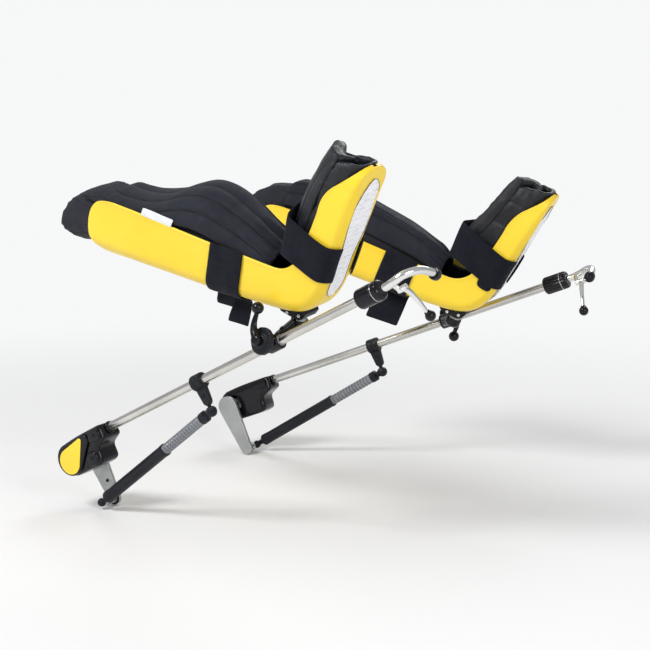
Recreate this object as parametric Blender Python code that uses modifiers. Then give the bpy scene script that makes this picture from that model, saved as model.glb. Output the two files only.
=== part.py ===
"""A pair of boot-type leg stirrups with lift-assist struts.

One stirrup goes on each side rail of an operating table.  Each has a mount plate, a hip joint
that lifts and spreads the leg, a support rod, a strut that carries part of the leg's weight,
a padded boot on a sliding clamp, and a squeeze handle that frees the hip joint.

World frame: +X to the foot end, +Y to the patient's left, +Z up.  The origin is on the inner face
of the right mount plate, level with the hip centre.  Lengths are metres and angles are degrees.
"""

from math import acos, atan2, cos, hypot, pi, radians, sin

import bmesh
import bpy
from mathutils import Matrix, Vector

# ---- the pair ----
SIDES = {"right": -1, "left": 1}
PLATE_SPAN = 0.532          # between the inner faces of the two mount plates
GAP = 0.0003                # between faces that touch on the real object

# ---- rest pose ----
LIFT = {"right": 27.0, "left": 21.5}            # rod above the horizontal
SPREAD = 6.5                                    # leg swung outward, about the hip's slanted pin
CLAMP_AT = {"right": 0.600, "left": 0.5790}      # clamp along the rod, from the hip centre
CLAMP_TURN = {"right": 65.6, "left": 92.0}     # arm turned from straight up towards the middle
KNOB_RISE = {"right": 18.0, "left": 18.0}       # clamp knob above straight outward
LEVER_TURN = {"right": 9.0, "left": 180.0}      # clamp lever, from straight up
BOOT_YAW = {"right": 3.7, "left": 11.0}
BOOT_PITCH = {"right": 19.0, "left": 25.0}
BOOT_ROLL = {"right": 8.5, "left": -5.0}

# ---- hip ----
PLATE_THICK = 0.008
PLATE_TOP_R = 0.025
PLATE_END_R = 0.0145
HIP_OUT = 0.0515            # hip centre, outward of the plate's inner face
STRUT_FOOT = (0.052, -0.096)  # lower strut joint from the hip centre, forward and up
LUG_R = 0.0065
EYE_R = 0.010
EYE_HALF = 0.007
PIN_R = 0.004
FORK_THICK = 0.005
YOKE_SHAFT_R = 0.010
STUD_R = 0.010
STUD_END = -0.0200          # stud's outer end, from the strut's plane
HOUSING_IN = -0.0300        # housing's inner and outer faces, from the hip centre
HOUSING_OUT = 0.0305
HIP_BORE_R = 0.022
HIP_BORE_END = 0.0175
COVER_THICK = 0.006
BADGE_THICK = 0.0015

# ---- rod, collar and strut ----
ROD_R = 0.0095
ROD_WALL = 0.0015
ROD_UP = 0.026              # rod axis above the hip centre
ROD_START = 0.026
ROD_END = 0.872
SOCKET_MOUTH = 0.108
RELEASE_R = 0.003
COLLAR_AT = 0.384
COLLAR_R = 0.0165
COLLAR_WIDTH = 0.026
ARM_DROP = 0.0644           # rod axis to the strut's upper joint
ARM_THICK = 0.013
JOINT_BALL_R = 0.0062
JOINT_HOUSING_R = 0.0118
CYL_R = 0.0135
CYL_WALL = 0.0017
CYL_START = 0.019           # along the strut, from its lower joint
CYL_END = 0.232
SLEEVE_R = 0.0113
SLEEVE_HIDDEN = 0.085
SLEEVE_TOP_GAP = 0.031      # ribbed sleeve's end, short of the upper joint
FOOT_BALL_R = 0.0085

# ---- handle ----
HUB_START = 0.824
HUB_END = 0.879
HUB_R = 0.020
TUBE_R = 0.008
CAP_R = 0.012
TUBE_ROUTE = [(0.8798, 0.0, 0.026), (0.893, 0.0, 0.026), (0.910, 0.001, 0.0285), (0.930, 0.010, 0.032),
              (0.947, 0.036, 0.029), (0.951, 0.060, 0.020), (0.949, 0.074, 0.014)]
CAP_AT = (0.948, 0.082, 0.0105)
TRIGGER_PIN = (0.913, 0.018, 0.011)
TRIGGER_END = (0.909, 0.066, -0.053)
TRIGGER_BALL_R = 0.0105

# ---- clamp ----
LINER_R = 0.0115
LINER_HALF = 0.017
RING_R = 0.0165
RING_HALF = 0.016
CLAMP_ARM = (0.037, 0.059)  # ball joint from the clamp's centre: along the rod, off the rod
BALL_R = 0.013
CUP_R = 0.0175
KNOB_R = 0.027
KNOB_FACE = 0.030
KNOB_THICK = 0.010
LEVER_REACH = 0.062
LEVER_BALL_R = 0.012

# ---- boot ----
SHELL = 0.004
BALL_IN_BOOT = (-0.055, 0.0, -0.0895)
STEM_R = 0.007
STEM_TOP = -0.0735
PAD_GAP = 0.0015
CALF_PAD = 0.016
FOOT_PAD = 0.015
STRAP_THICK = 0.0025
STRAP_GAP = 0.0006

# outer floor line and rim line of the boot's shell, side by side from calf end to toe:
# floor x, floor z, rim x, rim z, half width at the floor, half width at the rim, corner radius
SHELL_LINES = [
    (-0.515, -0.130, -0.512, -0.004, 0.060, 0.071, 0.034),
    (-0.430, -0.119, -0.432, 0.001, 0.060, 0.070, 0.034),
    (-0.340, -0.108, -0.340, 0.006, 0.059, 0.069, 0.034),
    (-0.250, -0.097, -0.250, 0.011, 0.058, 0.067, 0.034),
    (-0.165, -0.084, -0.167, 0.016, 0.055, 0.062, 0.032),
    (-0.105, -0.075, -0.118, 0.018, 0.052, 0.058, 0.030),
    (-0.062, -0.066, -0.090, 0.021, 0.050, 0.056, 0.028),
    (-0.030, -0.052, -0.070, 0.033, 0.049, 0.055, 0.026),
    (-0.009, -0.031, -0.057, 0.052, 0.048, 0.054, 0.026),
    (0.003, -0.006, -0.049, 0.076, 0.048, 0.054, 0.025),
    (0.010, 0.024, -0.044, 0.102, 0.049, 0.054, 0.025),
    (0.015, 0.060, -0.039, 0.130, 0.050, 0.054, 0.025),
    (0.020, 0.098, -0.035, 0.158, 0.051, 0.053, 0.025),
    (0.026, 0.140, -0.032, 0.186, 0.052, 0.053, 0.024),
    (0.031, 0.182, -0.020, 0.212, 0.052, 0.053, 0.020),
    (0.035, 0.220, 0.001, 0.235, 0.050, 0.050, 0.013),
    (0.038, 0.250, 0.020, 0.256, 0.044, 0.044, 0.007),
    (0.040, 0.270, 0.031, 0.273, 0.035, 0.035, 0.004),
]
CALF_END_BOW = 0.044        # how far the calf end bulges past its corners
INNER_WALL = 0.88           # height of the wall on the side towards the middle, of the outer one's
CALF_SHELLS = 6             # stations of SHELL_LINES that belong to the calf

# calf pad: x of each ring and height of its ridge
CALF_TOP = {
    "right": [(-0.590, -0.020), (-0.560, -0.005), (-0.510, 0.014), (-0.440, 0.042), (-0.370, 0.068),
              (-0.300, 0.084), (-0.240, 0.086), (-0.190, 0.080), (-0.150, 0.068), (-0.128, 0.052)],
    "left": [(-0.566, -0.006), (-0.545, 0.014), (-0.500, 0.036), (-0.440, 0.060), (-0.370, 0.070),
             (-0.300, 0.070), (-0.240, 0.067), (-0.190, 0.063), (-0.150, 0.057), (-0.128, 0.045)],
}
CALF_LEAN = 0.022           # ridge off the centre line, towards the middle
CALF_DROP = 0.022           # how far the pad sags past the shell's calf end
CALF_PAD_BOW = 0.045        # how far its sides bulge past the end
# foot pad: height of each ring and its instep
FOOT_TOP = {
    "right": [(0.052, -0.107), (0.090, -0.107), (0.130, -0.102), (0.170, -0.094), (0.210, -0.084),
              (0.245, -0.073), (0.264, -0.064)],
    "left": [(0.052, -0.107), (0.090, -0.105), (0.130, -0.092), (0.170, -0.077), (0.210, -0.066),
             (0.245, -0.056), (0.266, -0.046)],
}
FOOT_LEAN = 0.022           # instep further out on the side towards the middle
CALF_STRAP_X = (-0.247, -0.168)
# foot strap: its path across the foot, from one wall over the instep to the other
FOOT_STRAP_LINE = [(0.006, 0.0558), (-0.045, 0.0568), (-0.085, 0.0574), (-0.104, 0.0480), (-0.112, 0.0300),
                   (-0.113, 0.0), (-0.112, -0.0300), (-0.104, -0.0480), (-0.085, -0.0574),
                   (-0.045, -0.0568), (0.006, -0.0558)]
FOOT_STRAP_EDGES = ((0.030, 0.052), (0.106, 0.134))     # heights of its edges, low and high

COLOURS = {                 # base colour, roughness, metallic
    "plate_grey": ((0.36, 0.37, 0.38), 0.42, 0.9),
    "steel": ((0.62, 0.62, 0.60), 0.28, 1.0),
    "black_gloss": ((0.012, 0.012, 0.016), 0.18, 0.0),
    "black_satin": ((0.020, 0.021, 0.027), 0.45, 0.0),
    "yellow_shell": ((0.93, 0.68, 0.03), 0.38, 0.0),
    "sleeve_grey": ((0.22, 0.23, 0.25), 0.35, 0.6),
    "pad_charcoal": ((0.035, 0.037, 0.048), 0.75, 0.0),
    "strap_black": ((0.012, 0.013, 0.020), 0.85, 0.0),
}


# ---------------------------------------------------------------- scene and helpers

def clear_scene():
    for obj in list(bpy.data.objects):
        bpy.data.objects.remove(obj, do_unlink=True)


def collection(name):
    made = bpy.data.collections.new(name)
    bpy.context.scene.collection.children.link(made)
    return made


def material(name):
    found = bpy.data.materials.get(name)
    if found:
        return found
    colour, roughness, metallic = COLOURS[name]
    made = bpy.data.materials.new(name)
    made.use_nodes = True
    shader = made.node_tree.nodes["Principled BSDF"]
    shader.inputs["Base Color"].default_value = (*colour, 1.0)
    shader.inputs["Roughness"].default_value = roughness
    shader.inputs["Metallic"].default_value = metallic
    return made


def empty(name, parent, matrix):
    made = bpy.data.objects.new(name, None)
    made.empty_display_size = 0.03
    PARTS.objects.link(made)
    made.parent = parent
    made.matrix_local = matrix
    return made


def part(name, mesh, body, paint, matrix=None):
    """One sub-part: its mesh is in the body's frame, or in matrix within that frame."""
    made = bpy.data.objects.new(name, mesh)
    PARTS.objects.link(made)
    made.parent = body
    made.matrix_local = matrix or Matrix.Identity(4)
    mesh.materials.clear()
    mesh.materials.append(material(paint))
    mesh.shade_smooth()
    mesh.set_sharp_from_angle(angle=radians(35))
    return made


def tool(mesh, body, matrix=None):
    """A cutter, or a piece that another part is joined with."""
    made = bpy.data.objects.new("tool", mesh)
    CUTTERS.objects.link(made)
    made.parent = body
    made.matrix_local = matrix or Matrix.Identity(4)
    made.hide_render = True
    made.display_type = "WIRE"
    return made


def combine(obj, other, operation):
    step = obj.modifiers.new(operation.lower(), "BOOLEAN")
    step.operation = operation
    step.object = other
    step.solver = "EXACT"


def soften(obj, width, segments=2):
    step = obj.modifiers.new("edges", "BEVEL")
    step.width = width
    step.segments = segments
    step.limit_method = "ANGLE"
    step.angle_limit = radians(40)


def frame_along(start, direction):
    """Frame at start whose Z axis runs along direction."""
    turn = Vector((0, 0, 1)).rotation_difference(Vector(direction).normalized())
    return Matrix.Translation(Vector(start)) @ turn.to_matrix().to_4x4()


def mesh_from(bm, name):
    bmesh.ops.recalc_face_normals(bm, faces=bm.faces)
    mesh = bpy.data.meshes.new(name)
    bm.to_mesh(mesh)
    bm.free()
    return mesh


def rod_mesh(start, end, r0, r1=None, sides=14):
    """Solid round bar or taper between two points."""
    start, end = Vector(start), Vector(end)
    bm = bmesh.new()
    middle = frame_along((start + end) / 2, end - start)
    bmesh.ops.create_cone(bm, cap_ends=True, segments=sides, radius1=r0, radius2=r1 or r0,
                          depth=(end - start).length, matrix=middle)
    return mesh_from(bm, "bar")


def ball_mesh(centre, radius, sides=12):
    bm = bmesh.new()
    bmesh.ops.create_uvsphere(bm, u_segments=sides, v_segments=sides // 2 + 1, radius=radius,
                              matrix=Matrix.Translation(Vector(centre)))
    return mesh_from(bm, "ball")


def turned_mesh(profile, closed, sides=20):
    """Profile of (radius, height) points turned about Z; a closed profile leaves a bore."""
    mesh = bpy.data.meshes.new("profile")
    points = [(r, 0.0, h) for r, h in profile]
    edges = [(i, i + 1) for i in range(len(points) - 1)]
    if closed:
        edges.append((len(points) - 1, 0))
    mesh.from_pydata(points, edges, [])
    holder = bpy.data.objects.new("profile", mesh)
    CUTTERS.objects.link(holder)
    step = holder.modifiers.new("turn", "SCREW")
    step.steps = sides
    step.render_steps = sides
    step.use_merge_vertices = True
    step.merge_threshold = 0.0001
    return frozen(holder)


def frozen(holder):
    """Mesh of an object as its modifiers shape it; the object itself is removed."""
    bpy.context.view_layer.update()
    graph = bpy.context.evaluated_depsgraph_get()
    mesh = bpy.data.meshes.new_from_object(holder.evaluated_get(graph))
    bm = bmesh.new()
    bm.from_mesh(mesh)
    bmesh.ops.remove_doubles(bm, verts=bm.verts, dist=0.00001)
    bmesh.ops.recalc_face_normals(bm, faces=bm.faces)
    bm.to_mesh(mesh)
    bm.free()
    bpy.data.objects.remove(holder, do_unlink=True)
    return mesh


def slab_mesh(outline, y0, y1):
    """Flat outline of (x, z) points, thick from y0 to y1."""
    curve = bpy.data.curves.new("outline", "CURVE")
    curve.dimensions = "2D"
    curve.fill_mode = "BOTH"
    curve.extrude = abs(y1 - y0) / 2
    spline = curve.splines.new("POLY")
    spline.points.add(len(outline) - 1)
    for point, (x, z) in zip(spline.points, outline):
        point.co = (x, z, 0.0, 1.0)
    spline.use_cyclic_u = True
    holder = bpy.data.objects.new("outline", curve)
    CUTTERS.objects.link(holder)
    mesh = frozen(holder)
    upright = Matrix.Rotation(pi / 2, 4, "X")
    mesh.transform(Matrix.Translation((0, (y0 + y1) / 2, 0)) @ upright)
    return mesh


def tube_mesh(points, radius, resolution=2, widths=None):
    """Round bar along a smooth line through the points."""
    curve = bpy.data.curves.new("route", "CURVE")
    curve.dimensions = "3D"
    curve.fill_mode = "FULL"
    curve.bevel_depth = radius
    curve.bevel_resolution = resolution
    curve.use_fill_caps = True
    route = smooth_line(points, 3)
    spline = curve.splines.new("POLY")
    spline.points.add(len(route) - 1)
    for index, (point, place) in enumerate(zip(spline.points, route)):
        point.co = (*place, 1.0)
        if widths:
            share = index / (len(route) - 1)
            point.radius = widths[0] + (widths[1] - widths[0]) * share
    holder = bpy.data.objects.new("route", curve)
    CUTTERS.objects.link(holder)
    return frozen(holder)


def smooth_line(points, steps):
    """Catmull-Rom line through the points."""
    points = [Vector(p) for p in points]
    ends = [points[0] * 2 - points[1]] + points + [points[-1] * 2 - points[-2]]
    line = []
    for a, b, c, d in zip(ends, ends[1:], ends[2:], ends[3:]):
        for step in range(steps):
            t = step / steps
            line.append(0.5 * (2 * b + (c - a) * t + (2 * a - 5 * b + 4 * c - d) * t ** 2
                               + (3 * b - a - 3 * c + d) * t ** 3))
    line.append(points[-1])
    return line


def arc(cx, cz, radius, start, end, count):
    """Points on a circle, from one angle to another in degrees."""
    angles = [radians(start + (end - start) * i / count) for i in range(count + 1)]
    return [(cx + radius * cos(a), cz + radius * sin(a)) for a in angles]


def belt(c0, r0, c1, r1, count=10):
    """Outline of a belt drawn tight round two circles."""
    along = atan2(c1[1] - c0[1], c1[0] - c0[0])
    lean = acos((r0 - r1) / hypot(c1[0] - c0[0], c1[1] - c0[1]))
    first = [along + lean + (2 * pi - 2 * lean) * i / count for i in range(count + 1)]
    second = [along - lean + 2 * lean * i / count for i in range(count + 1)]
    return ([(c0[0] + r0 * cos(a), c0[1] + r0 * sin(a)) for a in first]
            + [(c1[0] + r1 * cos(a), c1[1] + r1 * sin(a)) for a in second])


def loft_mesh(rings, closed_line=False):
    """Surface through rings of equal length; closed_line joins the last ring to the first."""
    bm = bmesh.new()
    rows = [[bm.verts.new(point) for point in ring] for ring in rings]
    pairs = list(zip(rows, rows[1:]))
    if closed_line:
        pairs.append((rows[-1], rows[0]))
    for low, high in pairs:
        count = len(low)
        for i in range(count):
            bm.faces.new((low[i], low[(i + 1) % count], high[(i + 1) % count], high[i]))
    if not closed_line:
        bm.faces.new(rows[0])
        bm.faces.new(rows[-1])
    return mesh_from(bm, "loft")


def band_mesh(rows, thick):
    """Strip through open rows of points, made solid by moving it out along its normals."""
    bm = bmesh.new()
    verts = [[bm.verts.new(point) for point in row] for row in rows]
    for low, high in zip(verts, verts[1:]):
        for a, b, c, d in zip(low, low[1:], high[1:], high):
            bm.faces.new((a, b, c, d))
    mesh = bpy.data.meshes.new("band")
    bm.to_mesh(mesh)
    bm.free()
    holder = bpy.data.objects.new("band", mesh)
    CUTTERS.objects.link(holder)
    step = holder.modifiers.new("thickness", "SOLIDIFY")
    step.thickness = abs(thick)
    step.offset = 1.0 if thick > 0 else -1.0
    step.use_even_offset = True
    return frozen(holder)


# ---------------------------------------------------------------- body frames

def slanted_pin():
    """Unit direction of the hip's slanted pin, up and back, in the table's frame."""
    return Vector((-STRUT_FOOT[0], 0.0, -STRUT_FOOT[1])).normalized()


def body_frames(side, sign):
    """One empty for each moving body, on its joint."""
    middle = PLATE_SPAN / 2
    base = Matrix.Translation((0, middle + sign * (middle + HIP_OUT), 0))
    bodies = {"table": empty(f"{side}_table_frame", None, base)}
    spread = Matrix.Rotation(radians(sign * SPREAD), 4, slanted_pin())
    bodies["yoke"] = empty(f"{side}_yoke_frame", bodies["table"], spread)
    lift = Matrix.Rotation(radians(-LIFT[side]), 4, "Y")
    bodies["leg"] = empty(f"{side}_leg_frame", bodies["yoke"], lift)
    top = Vector((COLLAR_AT, 0, ROD_UP - ARM_DROP))
    foot = lift.inverted() @ Vector((STRUT_FOOT[0], 0, STRUT_FOOT[1]))
    run = top - foot
    rise = Matrix.Rotation(-atan2(run.z, run.x), 4, "Y")
    bodies["strut"] = empty(f"{side}_strut_frame", bodies["leg"], Matrix.Translation(top) @ rise)
    bodies["ram"] = empty(f"{side}_ram_frame", bodies["strut"],
                          Matrix.Translation((-run.length, 0, 0)))
    pin = Vector((TRIGGER_PIN[0], -sign * TRIGGER_PIN[1], TRIGGER_PIN[2]))
    bodies["trigger"] = empty(f"{side}_trigger_frame", bodies["leg"], Matrix.Translation(pin))
    seat = Matrix.Translation((CLAMP_AT[side], 0, ROD_UP))
    bodies["liner"] = empty(f"{side}_liner_frame", bodies["leg"], seat)
    turn = Matrix.Rotation(radians(sign * CLAMP_TURN[side]), 4, "X")
    bodies["clamp"] = empty(f"{side}_clamp_frame", bodies["liner"], turn)
    rise = radians(KNOB_RISE[side])
    out = turn.inverted() @ Vector((0, sign * cos(rise), sin(rise)))
    bodies["knob"] = empty(f"{side}_knob_frame", bodies["clamp"], frame_along((0, 0, 0), out))
    bodies["boot"], bodies["ball"] = boot_frames(side, sign, bodies["clamp"])
    return bodies, run.length


def boot_frames(side, sign, clamp):
    """The boot's own frame, and the frame of the ball it stands on, both held by the clamp."""
    bpy.context.view_layer.update()
    ball_place = clamp.matrix_world @ Vector((CLAMP_ARM[0], 0, CLAMP_ARM[1]))
    pose = (Matrix.Rotation(radians(sign * BOOT_YAW[side]), 4, "Z")
            @ Matrix.Rotation(radians(BOOT_PITCH[side]), 4, "Y")
            @ Matrix.Rotation(radians(-sign * BOOT_ROLL[side]), 4, "X"))
    world = Matrix.Translation(ball_place) @ pose
    ball = empty(f"{side}_ball_frame", clamp, clamp.matrix_world.inverted() @ world)
    shift = Matrix.Translation(-Vector(BALL_IN_BOOT))
    return empty(f"{side}_boot_frame", ball, shift), ball


# ---------------------------------------------------------------- hip

def mount_plate(side, sign, bodies):
    inner = -sign * HIP_OUT
    outline = belt((0, 0), PLATE_TOP_R, STRUT_FOOT, PLATE_END_R)
    plate = part(f"{side}_mount_plate", slab_mesh(outline, inner, inner + sign * PLATE_THICK),
                 bodies["table"], "plate_grey")
    soften(plate, 0.0008, 1)


def hip_lug(side, sign, bodies):
    root = -sign * (HIP_OUT - PLATE_THICK - GAP)
    axis = slanted_pin()
    eye = part(f"{side}_hip_lug", rod_mesh(-EYE_HALF * axis, EYE_HALF * axis, EYE_R),
               bodies["table"], "plate_grey")
    combine(eye, tool(rod_mesh((0, root, 0), (0, -sign * 0.005, 0), LUG_R), bodies["table"]),
            "UNION")
    hole = rod_mesh(-3 * EYE_HALF * axis, 3 * EYE_HALF * axis, PIN_R + GAP)
    combine(eye, tool(hole, bodies["table"]), "DIFFERENCE")


def strut_stud(side, sign, bodies):
    root = -(HIP_OUT - PLATE_THICK - GAP)
    place = (STRUT_FOOT[0], 0, STRUT_FOOT[1])
    profile = [(0, STUD_END), (STUD_R - 0.002, STUD_END), (STUD_R, STUD_END - 0.003), (STUD_R, root),
               (0, root)]
    part(f"{side}_strut_stud", turned_mesh(profile, False), bodies["table"], "plate_grey",
         frame_along(place, (0, sign, 0)))


def hip_yoke(side, sign, bodies):
    """Fork round the lug's eye, with its pin, and the shaft that the housing turns on."""
    body = bodies["yoke"]
    axis = slanted_pin()
    inner = EYE_HALF + GAP
    outer = inner + FORK_THICK
    shaft = part(f"{side}_hip_yoke",
                 rod_mesh((0, sign * 0.010, 0), (0, sign * (HOUSING_OUT - 0.002), 0), YOKE_SHAFT_R),
                 body, "steel")
    back = bmesh.new()
    across = axis.cross(Vector((0, 1, 0))).normalized()
    place = Matrix((across, Vector((0, 1, 0)), axis)).transposed().to_4x4()
    place.translation = Vector((0, sign * 0.0085, 0))
    size = Matrix.Diagonal((0.018, 0.009, 2 * outer - 0.0008, 1))
    bmesh.ops.create_cube(back, size=1.0, matrix=place @ size)
    combine(shaft, tool(mesh_from(back, "spine"), body), "UNION")
    combine(shaft, tool(rod_mesh(-outer * axis, outer * axis, EYE_R), body), "UNION")
    slot = rod_mesh(-inner * axis, inner * axis, EYE_R + 0.0004, None, 32)
    combine(shaft, tool(slot, body), "DIFFERENCE")
    pin = rod_mesh(-(outer + 0.0008) * axis, (outer + 0.0008) * axis, PIN_R)
    combine(shaft, tool(pin, body), "UNION")


def housing_outline(grow=0.0):
    """Side outline of the hip housing: round tail, rod socket above, lock pod below."""
    tail = arc(0, -0.002, 0.037 + grow, 100, 270, 12)
    rest = [(0.058, -0.0390 - grow), (0.074, -0.0360 - grow), (0.080 + grow, -0.028),
            (0.0805 + grow, -0.010), (0.084 + grow, -0.004 - grow), (0.096, 0.002 - grow),
            (0.107 + grow, 0.008), (SOCKET_MOUTH + grow, 0.014), (SOCKET_MOUTH + grow, 0.035),
            (0.104, 0.0385 + grow), (0.072, 0.0385 + grow), (0.030, 0.0375 + grow)]
    return tail + rest


def badge_outline():
    """Teardrop on the housing's outer face."""
    return belt((-0.004, -0.007), 0.0285, (0.040, 0.024), 0.006)


def hip_housing(side, sign, bodies):
    body = bodies["leg"]
    faces = (sign * HOUSING_IN, sign * HOUSING_OUT)
    shell = part(f"{side}_hip_housing", slab_mesh(housing_outline(), *faces), body, "black_gloss")
    soften(shell, 0.005, 2)
    wide = rod_mesh((0, sign * (HOUSING_IN - 0.01), 0), (0, sign * HIP_BORE_END, 0), HIP_BORE_R)
    combine(shell, tool(wide, body), "DIFFERENCE")
    narrow = rod_mesh((0, 0, 0), (0, sign * (HOUSING_OUT + 0.01), 0), YOKE_SHAFT_R + GAP)
    combine(shell, tool(narrow, body), "DIFFERENCE")
    socket = rod_mesh((ROD_START - 0.001, 0, ROD_UP), (SOCKET_MOUTH + 0.02, 0, ROD_UP), ROD_R + GAP)
    combine(shell, tool(socket, body), "DIFFERENCE")


def hip_cover(side, sign, bodies):
    start = HOUSING_OUT + GAP
    outline = belt((0, -0.002), 0.0345, (0.058, 0.022), 0.012)
    cover = part(f"{side}_hip_cover",
                 slab_mesh(outline, sign * start, sign * (start + COVER_THICK)), bodies["leg"],
                 "black_gloss")
    soften(cover, 0.0035, 2)


def hip_badge(side, sign, bodies):
    start = HOUSING_OUT + 2 * GAP + COVER_THICK
    part(f"{side}_hip_badge",
         slab_mesh(badge_outline(), sign * start, sign * (start + BADGE_THICK)), bodies["leg"],
         "yellow_shell")


# ---------------------------------------------------------------- rod, collar and strut

def main_rod(side, bodies):
    inner = ROD_R - ROD_WALL
    profile = [(inner, ROD_START), (inner, ROD_END), (ROD_R, ROD_END), (ROD_R, ROD_START)]
    part(f"{side}_main_rod", turned_mesh(profile, True), bodies["leg"], "steel",
         frame_along((0, 0, ROD_UP), (1, 0, 0)))


def release_rod(side, bodies):
    mesh = rod_mesh((ROD_START + 0.004, 0, ROD_UP), (ROD_END - 0.002, 0, ROD_UP), RELEASE_R, None, 12)
    part(f"{side}_release_rod", mesh, bodies["release"], "steel",
         Matrix.Translation((0, 0, -ROD_UP)))


def strut_collar(side, bodies):
    """Ring clamped on the rod, with the arm and ball stud that the strut hangs from."""
    body = bodies["leg"]
    half = COLLAR_WIDTH / 2
    profile = [(0.005, -half), (0.005, half), (COLLAR_R - 0.002, half), (COLLAR_R, half - 0.002),
               (COLLAR_R, -half + 0.002), (COLLAR_R - 0.002, -half)]
    ring = part(f"{side}_strut_collar", turned_mesh(profile, True), body, "black_satin",
                frame_along((COLLAR_AT, 0, ROD_UP), (1, 0, 0)))
    outline = belt((COLLAR_AT, ROD_UP), 0.0125, (COLLAR_AT + 0.001, ROD_UP - 0.042), 0.0095)
    combine(ring, tool(slab_mesh(outline, -ARM_THICK / 2, ARM_THICK / 2), body), "UNION")
    joint = Vector((COLLAR_AT, 0, ROD_UP - ARM_DROP))
    neck = rod_mesh(joint + Vector((0, 0, 0.002)), joint + Vector((0, 0, 0.020)), PIN_R)
    combine(ring, tool(neck, body), "UNION")
    combine(ring, tool(ball_mesh(joint, JOINT_BALL_R), body), "UNION")
    bore = rod_mesh((COLLAR_AT - 0.03, 0, ROD_UP), (COLLAR_AT + 0.03, 0, ROD_UP), ROD_R + GAP)
    combine(ring, tool(bore, body), "DIFFERENCE")


def strut_top(side, bodies, length):
    """Ball housing at the upper joint, and the socket that holds the ribbed sleeve."""
    body = bodies["strut"]
    end = -SLEEVE_TOP_GAP + GAP
    profile = [(0, -0.004), (0.0065, -0.006), (0.0065, -0.014), (0.0125, -0.0175), (0.0125, end),
               (0, end)]
    cap = part(f"{side}_strut_top", turned_mesh(profile, False), body, "black_satin",
               frame_along((0, 0, 0), (1, 0, 0)))
    combine(cap, tool(ball_mesh((0, 0, 0), JOINT_HOUSING_R), body), "UNION")
    up = (body.matrix_local.to_3x3().inverted() @ Vector((0, 0, 1))).normalized()
    combine(cap, tool(rod_mesh(-0.0068 * up, 0.03 * up, 0.0068), body), "DIFFERENCE")


def strut_sleeve(side, bodies, length):
    """Ribbed inner tube that slides into the ram."""
    start = -(length - CYL_END) - SLEEVE_HIDDEN
    profile = [(SLEEVE_R - 0.003, start), (SLEEVE_R - 0.003, -SLEEVE_TOP_GAP),
               (SLEEVE_R, -SLEEVE_TOP_GAP), (SLEEVE_R, start)]
    part(f"{side}_strut_sleeve", turned_mesh(profile, True), bodies["strut"], "sleeve_grey",
         frame_along((0, 0, 0), (1, 0, 0)))


def strut_ram(side, bodies):
    """Outer tube of the strut, closed at its foot."""
    inner = CYL_R - CYL_WALL
    profile = [(0, CYL_START + 0.005), (inner, CYL_START + 0.005), (inner, CYL_END), (CYL_R, CYL_END),
               (CYL_R, CYL_START + 0.002), (CYL_R - 0.002, CYL_START), (0, CYL_START)]
    part(f"{side}_strut_ram", turned_mesh(profile, False), bodies["ram"], "black_satin",
         frame_along((0, 0, 0), (1, 0, 0)))


def strut_foot(side, sign, bodies):
    """Ball end of the ram, with the short neck that faces the stud."""
    body = bodies["ram"]
    profile = [(0, CYL_START - GAP), (0.006, CYL_START - GAP), (0.0055, 0.0)]
    profile += [(0, 0.0)]
    foot = part(f"{side}_strut_foot", turned_mesh(profile, False), body, "black_satin",
                frame_along((0, 0, 0), (1, 0, 0)))
    combine(foot, tool(ball_mesh((0, 0, 0), FOOT_BALL_R), body), "UNION")
    neck = rod_mesh((0, 0, 0), (0, sign * (STUD_END + 0.0021), 0), 0.004)
    combine(foot, tool(neck, body), "UNION")


# ---------------------------------------------------------------- handle

def handle_hub(side, bodies):
    wall = 0.005
    profile = [(0, HUB_END - wall), (ROD_R + GAP, HUB_END - wall), (ROD_R + GAP, HUB_START),
               (HUB_R - 0.003, HUB_START), (HUB_R, HUB_START + 0.003), (HUB_R, HUB_END - 0.003),
               (HUB_R - 0.003, HUB_END), (0, HUB_END)]
    part(f"{side}_handle_hub", turned_mesh(profile, False, 32), bodies["leg"], "black_gloss",
         frame_along((0, 0, ROD_UP), (1, 0, 0)))


def handle_tube(side, sign, bodies):
    """Curved grip, with the lug and pin that carry the trigger."""
    body = bodies["leg"]
    route = [(x, -sign * y, z) for x, y, z in TUBE_ROUTE]
    tube = part(f"{side}_handle_tube", tube_mesh(route, TUBE_R, 3), body, "steel")
    px, py, pz = TRIGGER_PIN
    lug = rod_mesh((px - 0.011, -sign * 0.005, 0.026), (px - 0.011, -sign * py, pz), 0.0045, None, 12)
    combine(tube, tool(lug, body), "UNION")
    ear = rod_mesh((px - 0.0145, -sign * py, pz), (px - 0.0056, -sign * py, pz), 0.0058, None, 12)
    combine(tube, tool(ear, body), "UNION")
    pin = rod_mesh((px - 0.012, -sign * py, pz), (px + 0.008, -sign * py, pz), 0.0025, None, 12)
    combine(tube, tool(pin, body), "UNION")


def handle_cap(side, sign, bodies):
    x, y, z = CAP_AT
    cap = part(f"{side}_handle_cap", ball_mesh((x, -sign * y, z), CAP_R, 16), bodies["leg"], "black_gloss")
    route = smooth_line([(a, -sign * b, c) for a, b, c in TUBE_ROUTE], 3)
    reach = (route[-1] - route[-2]).normalized()
    bore = rod_mesh(route[-1] - 0.03 * reach, route[-1] + 0.0006 * reach, TUBE_R + 2 * GAP)
    combine(cap, tool(bore, bodies["leg"]), "DIFFERENCE")


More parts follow.
